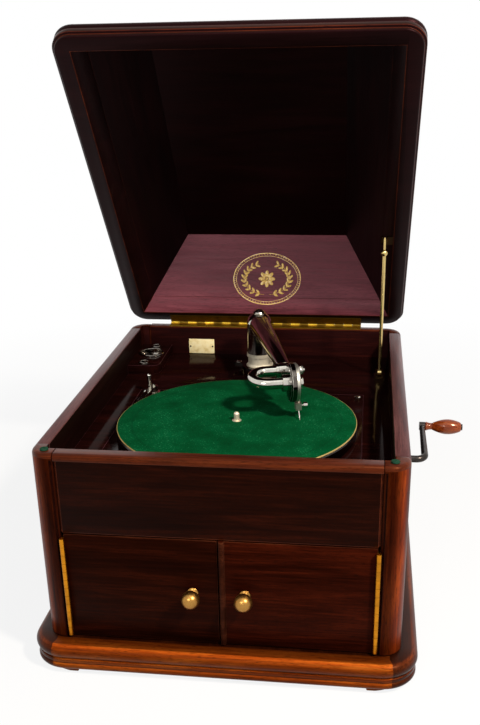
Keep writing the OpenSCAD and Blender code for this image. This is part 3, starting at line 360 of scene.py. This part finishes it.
# Painted shade: the lid's inner boards, a near-black copy of its mahogany
LID = ("#080202", "#0f0303", "#180606")
# Painted light: the lid's back board, a paler copy of the same boards, given the stronger BLOOM sheen besides
LID_BACK_LIT = ("#461c23", "#602a33", "#7e424b")
BEECH = ("#481607", "#782f0e", "#9a4a18")
FELT = ("#002c14", "#014321", "#045832")
PAD = ("#0c2418", "#1d4030", "#3a5a48")

# Painted light and shade by facing: how far a face looks along the axis, from -1 to 1, and how bright its
# stain is there
POST_FACING_LIGHT = ((-1, 0.2), (-0.95, 0.24), (-0.75, 1), (-0.4, 1), (-0.1, 0.34), (1, 0.34))
PLINTH_FACING_LIGHT = ((-1, 0.22), (0.05, 0.28), (0.35, 0.34), (0.55, 0.62), (0.66, 0.5), (0.82, 1), (0.91, 1),
              (0.97, 0.25), (1, 0.1))

# Polishes: specular level, its tint, and roughness
DULL = (0.07, "#a8502a", 0.3)
SATIN = (0.25, "#c8784a", 0.3)
MIRROR = (0.05, "#d8843c", 0.06)
SHEEN = (0.5, "#b57076", 0.3)
BLOOM = (0.7, "#c88a90", 0.34)
FAINT = (0.2, "#b57076", 0.34)
VARNISH = (0.6, "#ffd8c0", 0.12)

veneer_x = mahogany("mahogany veneer, across the front", ALONG_X, VENEER, DULL)
right_door_lit_x = mahogany("mahogany veneer, right door, painted light", ALONG_X, RIGHT_DOOR_LIT, DULL)
veneer_y = mahogany("mahogany veneer, along the sides", ALONG_Y, VENEER, DULL)
solid_x = mahogany("solid mahogany, across", ALONG_X, SOLID, SATIN, ("Z", PLINTH_FACING_LIGHT))
solid_y = mahogany("solid mahogany, front to back, painted shade", ALONG_Y, SOLID_SIDE_SHADED, SATIN, ("Z", PLINTH_FACING_LIGHT))
post_z = mahogany("solid mahogany, upright", ALONG_Z, POST, DULL, ("Y", POST_FACING_LIGHT))
arris_x = mahogany("mahogany door arris", ALONG_X, ARRIS, DULL)
rim_x = mahogany("mahogany rim, across", ALONG_X, RIM, SATIN)
rim_y = mahogany("mahogany rim, front to back", ALONG_Y, RIM_SIDE_REFLECTED, SHEEN)
well_shaded_x = mahogany("mahogany in the well, painted shade, across", ALONG_X, WELL_SHADED, FAINT)
well_shaded_y = mahogany("mahogany in the well, painted shade, front to back", ALONG_Y, WELL_SIDE_SHADED, DULL)
deck_x = mahogany("mahogany deck, mirror polished", ALONG_X, DECK, MIRROR)
deck_edge_lit_x = mahogany("mahogany deck edge, painted highlight", ALONG_X, DECK_EDGE_LIT, SHEEN)
lid_in_x = mahogany("mahogany lid boards, across", LID_ACROSS, LID, FAINT)
lid_in_y = mahogany("mahogany lid boards, front to back", LID_ALONG, LID, FAINT)
lid_rear = mahogany("mahogany lid board at the back, lit", LID_ACROSS, LID_BACK_LIT, BLOOM)
lid_out_x = mahogany("mahogany lid outside, across", LID_ACROSS, VENEER, SATIN)
lid_out_y = mahogany("mahogany lid outside, front to back", LID_ALONG, VENEER, SATIN)
lid_edge = mahogany("mahogany lid arris", LID_ACROSS, RIM, FAINT)
grip_wood = mahogany("varnished turned beech, red stained", ALONG_X, BEECH, VARNISH)
nickel = plated("polished nickel plate", "#cdc8bd", "#6d6558", 0.07, 0.35)
worn_nickel = plated("nickel plate, worn dull", "#c9c3b6", "#5d564b", 0.3, 0.45)
brushed_steel = plated("brushed steel", "#e0d6c0", "#8a8070", 0.5, 0.3)
brass = plated("aged brass", "#d0871e", "#6a4010", 0.24, 0.55)
hinge_brass = plated("yellow hinge brass", "#c4a136", "#54390e", 0.26, 0.6)
leaf_brass = plated("browned hinge leaf", "#6e551c", "#2c1e06", 0.3, 0.7)
knob_brass = plated("handled brass", "#b08242", "#653b14", 0.26, 0.5)
pale_brass = plated("lacquered pale brass", "#d9bd7c", "#8a6a30", 0.18, 0.4)
bronze = plated("oxidised bronze", "#4b3823", "#171009", 0.26, 0.5)
black_nickel = plated("black nickel plate", "#645d57", "#12100e", 0.07, 0.4)
cup_nickel = plated("dark nickel plate, bright", "#a59d94", "#1c1814", 0.05, 0.4)
steel = plated("browned steel rod", "#45403d", "#1f1815", 0.17, 0.6)
spring_steel = plated("blued spring steel", "#4f5866", "#23242a", 0.25, 0.4)
cast_iron = iron_castings()
deal = deal_boards()
mica = mica_sheet()
ivory = ivory_plate()
gilt = gilt_leaf()

# Modelling helpers

BOARD_WELD = 0.00002
RING_WELD = 0.000005
FLAT_BELOW = radians(0.4)
SMOOTH_BELOW = radians(32)
SHARP_ABOVE = radians(38)


def pick(*pieces):
    """Leaves only these pieces selected, the first one active."""
    if bpy.context.object and bpy.context.object.mode != "OBJECT":
        bpy.ops.object.mode_set(mode="OBJECT")
    bpy.ops.object.select_all(action="DESELECT")
    for piece in pieces:
        piece.select_set(True)
    bpy.context.view_layer.objects.active = pieces[0]


def settle(piece, name, body, slot, materials, *stands_for):
    """Fixes a piece's place, names it, gives it its finish and lets it ride on its body.

    stands_for names the CAD nodes that it replaces.
    """
    pick(piece)
    bpy.ops.object.transform_apply(location=True, rotation=True, scale=True)
    bpy.ops.object.shade_smooth_by_angle(angle=SMOOTH_BELOW)
    piece.name = name
    if not piece.data.materials:
        for material in materials:
            piece.data.materials.append(material)
    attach(piece, body)
    if stands_for:
        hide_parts(*stands_for)


def eased(node, body, slot, materials, width, finish=None, where=None, cut=None):
    """A copy of a CAD piece with its arrises eased, to a width in millimetres.

    finish gives a face's material, where says which sharp edges are eased, and the arrises take the
    last material. cut is a plane's point and normal, where a finish changes.
    """
    bpy.ops.object.select_all(action="DESELECT")
    piece = bpy.data.objects.new(node + "_eased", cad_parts[node].data.copy())
    scene.collection.objects.link(piece)
    pick(piece)
    bpy.ops.object.mode_set(mode="EDIT")
    bpy.ops.mesh.select_mode(type="EDGE")
    bpy.ops.mesh.select_all(action="SELECT")
    bpy.ops.mesh.customdata_custom_splitnormals_clear()
    bpy.ops.mesh.remove_doubles(threshold=BOARD_WELD)
    bpy.ops.mesh.dissolve_limited(angle_limit=FLAT_BELOW)
    bpy.ops.mesh.normals_make_consistent(inside=False)
    if cut:
        bpy.ops.mesh.select_all(action="SELECT")
        bpy.ops.mesh.bisect(plane_co=cut[0], plane_no=cut[1])
    bpy.ops.object.mode_set(mode="OBJECT")
    piece.data.materials.clear()
    for material in materials:
        piece.data.materials.append(material)
    for face in piece.data.polygons:
        face.material_index = finish(face) if finish else 0
    if width:
        bpy.ops.object.mode_set(mode="EDIT")
        bpy.ops.mesh.select_all(action="DESELECT")
        bpy.ops.mesh.edges_select_sharp(sharpness=SHARP_ABOVE)
        bpy.ops.object.mode_set(mode="OBJECT")
        points = piece.data.vertices
        for edge in piece.data.edges:
            middle = (points[edge.vertices[0]].co + points[edge.vertices[1]].co) / 2
            edge.select = edge.select and (where is None or where(middle))
        bpy.ops.object.mode_set(mode="EDIT")
        bpy.ops.mesh.bevel(offset=width * MM, segments=2, affect="EDGES", clamp_overlap=True,
                           material=len(materials) - 1)
        bpy.ops.object.mode_set(mode="OBJECT")
    settle(piece, node + "_eased", body, slot, materials, node)


def turned(profile, sides):
    """A piece turned about z: a disc drawn up from ring to ring, as (radius, height) in millimetres."""
    bpy.ops.object.select_all(action="DESELECT")
    bpy.ops.mesh.primitive_circle_add(vertices=sides, radius=profile[0][0] * MM, fill_type="NGON",
                                      enter_editmode=True)
    piece = bpy.context.object
    for (r0, h0), (r1, h1) in zip(profile, profile[1:]):
        bpy.ops.mesh.extrude_region_move(TRANSFORM_OT_translate={"value": (0, 0, (h1 - h0) * MM)})
        bpy.ops.transform.resize(value=(r1 / r0, r1 / r0, 1))
    bpy.ops.mesh.select_all(action="SELECT")
    bpy.ops.transform.translate(value=(0, 0, profile[0][1] * MM))
    bpy.ops.mesh.remove_doubles(threshold=RING_WELD)
    bpy.ops.mesh.normals_make_consistent(inside=False)
    bpy.ops.object.mode_set(mode="OBJECT")
    return piece


def copies(piece, places):
    """Copies a piece to each place, a location in millimetres and a rotation, and joins them into one."""
    made = []
    for spot, turn in places:
        twin = bpy.data.objects.new(piece.name, piece.data.copy())
        scene.collection.objects.link(twin)
        twin.location, twin.rotation_euler = Vector(spot) * MM, turn
        made.append(twin)
    bpy.data.objects.remove(piece)
    pick(*made)
    bpy.ops.object.join()
    bpy.ops.object.transform_apply(location=True, rotation=True, scale=True)
    return bpy.context.object


# Woodwork: each board is a copy of its CAD solid, its arrises eased where a width is given

# The rim's band is the top 9.2 mm of the walls
BAND_DEEP = 0.0092
BAND_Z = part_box("lid_pads")[0].z - BAND_DEEP
# A point on the lid's hinge axis and the turn that shuts the lid; when shut, the seam over its rim and
# where its back part starts
LID_HINGE = Vector((0, 0.2672, 0.2894))
LID_SHUT = Matrix.Rotation(LID_TILT, 3, "X")
LID_SEAM_Z = 0.3115
LID_BACK_Y = 0.15
# The bead is the first 7.5 mm of the right door
DOOR_BEAD = 7.5 * MM
DOOR_BEAD_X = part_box("right_door")[0].x + DOOR_BEAD
# Share of a unit normal that counts as facing a way
FACING = 0.7
# Ratio of a normal's x to its y that counts as looking to the side
SIDEWAYS = 0.4


def side_runs(face):
    """Second finish, painted shade, on the moulding's sides, which run front to back, and on most of each
    rounded corner.
    """
    return 1 if abs(face.normal.x) > SIDEWAYS * abs(face.normal.y) else 0


def looks_in(normal, centre):
    """Whether an upright face looks towards the middle of the cabinet."""
    across = abs(normal.x) > FACING and normal.x * centre.x < 0
    along = abs(normal.y) > FACING and normal.y * centre.y < 0
    return across or along


def wall_finish(face):
    """Veneer outside, painted shade on the faces in the well, and the rim's own finish, with painted light,
    on the top band.
    """
    if looks_in(face.normal, face.center):
        return 1
    return 2 if face.center.z > BAND_Z else 0


def lid_finish(face):
    """Outside, inside (painted shade), or the back board that the window lights (painted light); told apart
    with the lid shut.
    """
    normal = LID_SHUT @ face.normal
    centre = LID_SHUT @ (face.center - LID_HINGE) + LID_HINGE
    if normal.z > -0.05 and not looks_in(normal, centre):
        return 0
    # the back board looks forwards, and not straight down as the rim's underside does
    at_back = centre.y > LID_BACK_Y and normal.z > -0.9 and normal.y < -0.5
    return 2 if at_back else 1


def below_seam(point):
    """Whether an edge of the lid's rim lies clear of the boards above it."""
    return (LID_SHUT @ (point - LID_HINGE) + LID_HINGE).z < LID_SEAM_Z


def bead_finish(face):
    """Veneer on the right door, and the paler solid wood of the bead on its meeting edge."""
    return 1 if face.center.x < DOOR_BEAD_X else 0


def build_cabinet():
    """The cabinet's boards, posts, plinth and feet, the deck, the doors and the lid."""
    wood = "mahogany"
    eased("front_rail", "cabinet", wood, [veneer_x, well_shaded_x, rim_x], 1.2, wall_finish)
    eased("left_side", "cabinet", wood, [veneer_y, well_shaded_y, rim_y], 1.2, wall_finish)
    eased("right_side", "cabinet", wood, [veneer_y, well_shaded_y, rim_y], 1.2, wall_finish)
    eased("back_panel", "cabinet", wood, [veneer_x, well_shaded_x, rim_x], 1.2, wall_finish)
    eased("corner_posts", "cabinet", wood, [post_z, well_shaded_x, rim_x, veneer_y], 0.9, wall_finish)
    eased("plinth", "cabinet", wood, [solid_x, solid_y, rim_x], 0.5, side_runs)
    eased("feet", "cabinet", wood, [solid_x], 1.5)
    eased("deck", "cabinet", wood, [deck_x, deck_edge_lit_x], 0.5)
    eased("motor_board", "cabinet", wood, [deck_x, deck_edge_lit_x], 1.0)
    eased("needle_shelf", "cabinet", wood, [deck_x, deck_edge_lit_x], 1.2)
    eased("left_door", "left_door", wood, [veneer_x, arris_x], 1.0)
    eased("right_door", "right_door", wood, [right_door_lit_x, arris_x], 1.0, bead_finish)
    eased("lid_rim", "lid", wood, [lid_out_x, lid_in_x, lid_rear, lid_edge], 0.5, lid_finish, below_seam)
    eased("lid_ends", "lid", wood, [lid_out_x, lid_in_x, lid_rear], 0, lid_finish)
    eased("lid_sides", "lid", wood, [lid_out_y, lid_in_y], 0, lid_finish)
    eased("lid_top", "lid", wood, [lid_out_x, lid_in_x], 0, lid_finish)


# Metal and the rest: the CAD shapes are right, so they keep them


def finish_metal():
    """Gives each CAD piece that keeps its shape its metal, iron, deal or mica."""
    finishes = {
        nickel: "deck_screws brake_post tonearm tonearm_cap gooseneck needle needle_screw brake_lever",
        worn_nickel: "stylus_bar",
        brushed_steel: "spindle",
        cup_nickel: "needle_cups",
        bronze: "stay_socket lid_stay_catch",
        hinge_brass: "lid_hinge_fixed",
        leaf_brass: "lid_hinge_leaf",
        brass: "door_hinges_fixed left_door_leaf right_door_leaf crank_bush spring_barrel idler governor",
        pale_brass: "lid_stay",
        steel: "crank winding_shaft platter speed_lever spring_arbor",
        spring_steel: "mainspring",
        cast_iron: "motor_plate motor_frame horn_throat",
        deal: "bottom_board deck_bearers horn_cheeks horn_roof",
        mica: "diaphragm",
    }
    for material, names in finishes.items():
        for name in names.split():
            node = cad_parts[name]
            node.data.materials.clear()
            node.data.materials.append(material)


# Felt, knobs, grip and small fittings; profiles are (radius, height) in millimetres

KNOB_ROSE = [(6.2, 0), (6.5, 0.35), (6.5, 1.4), (6.1, 1.9), (5, 2.3), (4.2, 3.2), (4, 4.4), (4, 5.8),
             (4.4, 6.6)]
GRIP_NECK = 9.5
GRIP_WAIST = 4.7
GRIP_COLLAR = [(5.2, 0), (5.9, 0.3), (6.2, 0.9), (6.1, 2.2), (5.5, 3.6), (5.0, 5.4), (GRIP_WAIST, 7.5),
               (GRIP_WAIST, GRIP_NECK)]
# The bare plate, in metres, and its pins, in millimetres
PLATE_X = -0.10125
PLATE_Z = 0.2565
PLATE_SIZE = (0.0415, 0.0012, 0.024)
PLATE_ROUND = 0.0004
PIN_XS = (-119.2, -83.3)
PIN = [(1.3, 0), (1.3, 0.4), (0.9, 0.8), (0.3, 1)]


def lay_felt():
    """The turntable's felt, its cut edge rounded over and dished round the pin, and the rim's two pads."""
    low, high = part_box("felt")
    r, top, under = (high.x - low.x) / 2 / MM, high.z / MM, low.z / MM
    centre = ((low.x + high.x) / 2, (low.y + high.y) / 2)
    edge = [(r - 0.6, under), (r - 0.1, under + 0.4), (r, under + 1.0), (r - 0.25, top - 0.3), (r - 0.9, top)]
    rings = [(r * k, top) for k in (0.8, 0.6, 0.4, 0.2)]
    mat = turned(edge + rings + [(9, top - 0.05), (6.6, top - 0.5)], 96)
    mat.location = (*centre, 0)
    felt = wool_felt("green wool felt", FELT, centre, r * MM)
    settle(mat, "felt_mat", "turntable", "felt", [felt], "felt")

    low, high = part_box("lid_pads")
    h, r, x = (high.z - low.z) / MM, (high.y - low.y) / 2 / MM, high.x / MM
    side = [(r - 0.4, 0), (r - 0.05, 0.5), (r - 0.05, h - 0.9), (r - 0.5, h - 0.25)]
    pad = turned(side + [(r - 1.6, h - 0.02), (1.5, h)], 24)
    pads = copies(pad, [((s * (x - r), low.y / MM + r, low.z / MM), (0, 0, 0)) for s in (-1, 1)])
    # a centre of (0, 0) and a radius of 1 m keep the tan edge and the worn ring off the pads
    pad_felt = wool_felt("worn green felt pad", PAD, (0, 0), 1)
    settle(pads, "rim_pads", "cabinet", "felt", [pad_felt], "lid_pads")


def fit_knobs():
    """Brass ball knobs on small roses, lathe-turned, with a flat ground on the front."""
    for side in ("left", "right"):
        low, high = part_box(side + "_knob")
        r, deep = (high.x - low.x) / 2 / MM, (high.y - low.y) / MM
        mid = deep - r
        ball = [(r * cos(radians(a)), mid + r * sin(radians(a))) for a in range(-62, 82, 9)]
        knob = turned(KNOB_ROSE + ball + [(r * 0.11, deep - 0.02)], 40)
        knob.rotation_euler = (radians(90), 0, 0)
        knob.location = ((low.x + high.x) / 2, high.y, (low.z + high.z) / 2)
        settle(knob, side + "_turned_knob", side + "_door", "brass", [knob_brass], side + "_knob")


def fit_grip():
    """The crank's turned grip: a flared collar, a slim neck and a long blunt pear."""
    low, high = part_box("crank_grip")
    length, r = (high.x - low.x) / MM, (high.z - low.z) / 2 / MM
    swell, pear_long = r - GRIP_WAIST, length - GRIP_NECK
    steps = [k / 18 for k in range(1, 18)]
    pear = [(GRIP_WAIST + swell * sin(radians(168 * t)) ** 0.9, GRIP_NECK + pear_long * t) for t in steps]
    grip = turned(GRIP_COLLAR + pear + [(6.1, length - 0.7), (5.2, length - 0.15), (3.5, length)], 40)
    grip.rotation_euler = (0, radians(90), 0)
    grip.location = (low.x, (low.y + high.y) / 2, (low.z + high.z) / 2)
    settle(grip, "turned_grip", "crank_grip", "grip_wood", [grip_wood], "crank_grip")


def fit_plate():
    """A bare ivory plate on the back wall, held by two pins."""
    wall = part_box("back_panel")[0].y
    bpy.ops.object.select_all(action="DESELECT")
    bpy.ops.mesh.primitive_cube_add(size=1, location=(PLATE_X, wall - PLATE_SIZE[1] / 2, PLATE_Z))
    plate = bpy.context.object
    plate.scale = PLATE_SIZE
    bpy.ops.object.transform_apply(location=False, rotation=False, scale=True)
    bevel = plate.modifiers.new("rounded plate", "BEVEL")
    bevel.width, bevel.segments = PLATE_ROUND, 2
    bpy.ops.object.modifier_apply(modifier=bevel.name)
    settle(plate, "bare_plate", "cabinet", "brass", [ivory])
    face = (wall - PLATE_SIZE[1]) / MM
    spots = [((x, face, PLATE_Z / MM), (radians(90), 0, 0)) for x in PIN_XS]
    settle(copies(turned(PIN, 12), spots), "plate_pins", "cabinet", "brass", [steel])


# The tonearm's pillar and the sound box, in millimetres and degrees

FLANGE_HIGH = 4.2
BOX_HEADING = 15.5
RING_FROM = 1.6
NUT = [(2.4, 5.6), (2.4, 7), (5, 7.2), (5.5, 7.7), (5.5, 11.4), (5.1, 12), (3, 12.3), (2.6, 12.6),
       (2.6, 14.4), (2, 14.9)]
NUT_UP = 16.5
KNURL_FROM = 4.5
KNURL_CUT = 0.94
CAP = [(3, 8.4), (7.4, 8.7), (8, 9.3), (8, 11.6), (7.3, 12.6), (5.4, 13.4), (2.6, 13.8)]
CAP_DOWN = 1


def split_pillar():
    """The tonearm's pillar: a dark flange on the deck, and the bright pillar over it."""
    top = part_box("tonearm_base")[0] + Vector((0, 0, FLANGE_HIGH * MM))
    eased("tonearm_base", "cabinet", "nickel", [brushed_steel, black_nickel, brushed_steel], 0,
          lambda face: 0 if face.center.z > top.z else 1, cut=(top, (0, 0, 1)))


def box_frame():
    """Frame of the sound box at its middle: z out of its face, x down."""
    low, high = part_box("soundbox")
    out = Vector((cos(radians(BOX_HEADING)), sin(radians(BOX_HEADING)), 0))
    down = Vector((0, 0, -1))
    turn = Matrix((down, out.cross(down), out)).transposed().to_4x4()
    turn.translation = (low + high) / 2
    return turn


def dress_sound_box():
    """Black-plated back and bright front ring, a knurled tension nut and a domed cap on the bar."""
    place = box_frame()
    out = place.to_3x3().col[2]
    edge = place.translation + out * RING_FROM * MM
    eased("soundbox", "soundbox", "nickel", [worn_nickel, black_nickel, worn_nickel], 0.3,
          lambda face: 0 if (face.center - edge).dot(out) > 0 else 1, cut=(edge, out))
    nut = turned(NUT, 36)
    for corner in nut.data.vertices:
        if corner.co.xy.length > KNURL_FROM * MM and corner.index % 2:
            corner.co.x *= KNURL_CUT
            corner.co.y *= KNURL_CUT
    nut.matrix_world = place @ Matrix.Translation((-NUT_UP * MM, 0, 0))
    settle(nut, "tension_nut", "soundbox", "nickel", [nickel])
    cap = turned(CAP, 32)
    cap.matrix_world = place @ Matrix.Translation((CAP_DOWN * MM, 0, 0))
    settle(cap, "bar_cap", "soundbox", "nickel", [nickel])


# Screws, in millimetres

BUSH_FLANGE_X = 216
BUSH_RING = 14
STAY_SCREW_XS = (-4.6, 4.6)
STAY_SCREW_Y = 4.2
STAY_FOOT_HIGH = 1.4
BACK_Y = 261
BACK_XS = (-170, -57, 57, 170)
BACK_ZS = (58, 268)
BACK_MID_Z = 163


def slotted(r):
    """A slotted round-head screw, its head drawn up from a disc and the slot cut out."""
    head = turned([(r, 0), (r, 0.25 * r), (0.86 * r, 0.42 * r), (0.55 * r, 0.56 * r), (0.2 * r, 0.6 * r)], 16)
    bpy.ops.object.select_all(action="DESELECT")
    bpy.ops.mesh.primitive_cube_add(size=1, location=(0, 0, 0.6 * r * MM))
    saw = bpy.context.object
    saw.scale = (3 * r * MM, 0.26 * r * MM, 0.5 * r * MM)
    slot = head.modifiers.new("slot", "BOOLEAN")
    slot.operation, slot.object, slot.solver = "DIFFERENCE", saw, "EXACT"
    pick(head)
    bpy.ops.object.modifier_apply(modifier=slot.name)
    bpy.data.objects.remove(saw)
    return head


def fit_screws():
    """Screws of the crank bush, the stay's foot and the back board."""
    low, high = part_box("crank_bush")
    y, z = (low.y + high.y) / 2 / MM, (low.z + high.z) / 2 / MM
    flange = []
    for a in (radians(90), radians(210), radians(330)):
        spot = (BUSH_FLANGE_X, y + BUSH_RING * cos(a), z + BUSH_RING * sin(a))
        flange.append((spot, (a, radians(90), 0)))
    settle(copies(slotted(2), flange), "bush_screws", "cabinet", "brass", [brass])
    low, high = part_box("stay_socket")
    x, y, z = (low.x + high.x) / 2 / MM, low.y / MM + STAY_SCREW_Y, low.z / MM + STAY_FOOT_HIGH
    foot = [((x + dx, y, z), (0, 0, 0.6 * dx)) for dx in STAY_SCREW_XS]
    settle(copies(slotted(1.7), foot), "stay_screws", "cabinet", "brass", [bronze])
    spots = [(x, z) for x in BACK_XS for z in BACK_ZS]
    spots += [(BACK_XS[0], BACK_MID_Z), (BACK_XS[-1], BACK_MID_Z)]
    turns = [((x, BACK_Y, z), (radians(-90), 0.7 * k, 0)) for k, (x, z) in enumerate(spots)]
    settle(copies(slotted(3.2), turns), "back_screws", "cabinet", "steel", [steel])


# Gilt ornament, drawn flat in millimetres and then laid on the lid's back slope

LEAF_THICK = 0.12
BEAD_RX, BEAD_RY = 51.5, 38.5
BEAD = [(0.85, 0), (0.8, 0.12), (0.35, 0.22)]
HEART = [(2.6, 0), (2.5, 0.2), (1.6, 0.34), (0.5, 0.4)]
PETAL_FROM = 2.6
SPRAY_RX, SPRAY_RY = 36, 25
ORNAMENT_AT = Vector((3, 273.9, 361.6))
ORNAMENT_TILT = radians(69.94)
SLOPE_NORMAL = Vector((0, -0.939, 0.343))
ORNAMENT_LIFT = 0.03


def oval_line(rx, ry, wide):
    """A flat oval line: a circle drawn out to the oval and its edge extruded inwards."""
    bpy.ops.object.select_all(action="DESELECT")
    bpy.ops.mesh.primitive_circle_add(vertices=96, radius=MM, enter_editmode=True)
    line = bpy.context.object
    bpy.ops.transform.resize(value=(rx, ry, 1))
    bpy.ops.mesh.extrude_region_move(TRANSFORM_OT_translate={"value": (0, 0, 0)})
    bpy.ops.transform.resize(value=((rx - wide) / rx, (ry - wide) / ry, 1))
    bpy.ops.object.mode_set(mode="OBJECT")
    return line


def petal(long, wide, rise):
    """A pointed leaf or petal along x from the origin: an octagon drawn out, with a raised spine."""
    bpy.ops.object.select_all(action="DESELECT")
    bpy.ops.mesh.primitive_circle_add(vertices=8, radius=MM, fill_type="NGON", enter_editmode=True)
    blade = bpy.context.object
    bpy.ops.transform.rotate(value=radians(90), orient_axis="Z", center_override=(0, 0, 0))
    bpy.ops.transform.resize(value=(long / 2, wide / 2, 1))
    bpy.ops.mesh.extrude_region_move(TRANSFORM_OT_translate={"value": (0, 0, rise * MM)})
    bpy.ops.transform.resize(value=(0.7, 0.3, 1))
    bpy.ops.mesh.select_all(action="SELECT")
    bpy.ops.transform.translate(value=(long / 2 * MM, 0, 0))
    bpy.ops.object.mode_set(mode="OBJECT")
    return blade


def round_oval(count, rx, ry):
    """Places at even angles round an oval, each turned to its angle."""
    angles = [2 * pi * k / count for k in range(count)]
    return [((rx * cos(a), ry * sin(a), 0), (0, 0, a)) for a in angles]


def on_spray(side, degrees, lean):
    """A place on the left or right spray, turned along its stem and then by the lean in degrees."""
    a = radians(degrees)
    grow = Vector((-SPRAY_RX * sin(a), SPRAY_RY * cos(a))).angle_signed(Vector((1, 0)))
    way = grow + radians(lean)
    return (side * SPRAY_RX * cos(a), SPRAY_RY * sin(a), 0), (0, 0, way if side > 0 else pi - way)


def gild_lid():
    """Gilt ornament on the lid's back slope: a beaded oval round a rosette and two sprays of leaves."""
    lines = [oval_line(54, 41, 1.2), oval_line(49.4, 36.4, 0.6)]
    beads = copies(turned(BEAD, 8), round_oval(72, BEAD_RX, BEAD_RY))
    flower = copies(petal(11, 6, 0.22), round_oval(8, PETAL_FROM, PETAL_FROM))
    heart = turned(HEART, 16)
    leaves = []
    stems = []
    for side in (-1, 1):
        for k in range(10):
            leaves += [on_spray(side, -72 + 14.5 * k, lean) for lean in (-38, 38)]
        stems += [on_spray(side, -84 + 10 * k, 0) for k in range(15)]
    sprays = copies(petal(8.2, 3.4, 0.18), leaves)
    stalks = copies(petal(7.6, 0.8, 0.12), stems)
    for line in lines:
        pick(line)
        wall = line.modifiers.new("leaf thickness", "SOLIDIFY")
        wall.thickness, wall.offset = LEAF_THICK * MM, 1
        bpy.ops.object.modifier_apply(modifier=wall.name)
    pick(*lines, beads, flower, heart, sprays, stalks)
    bpy.ops.object.join()
    ornament = bpy.context.object
    ornament.rotation_euler = (ORNAMENT_TILT, 0, 0)
    ornament.location = ORNAMENT_AT * MM + SLOPE_NORMAL * ORNAMENT_LIFT * MM
    settle(ornament, "gilt_ornament", "lid", "brass", [gilt])


build_cabinet()
finish_metal()
lay_felt()
fit_knobs()
fit_grip()
fit_plate()
split_pillar()
dress_sound_box()
fit_screws()
gild_lid()
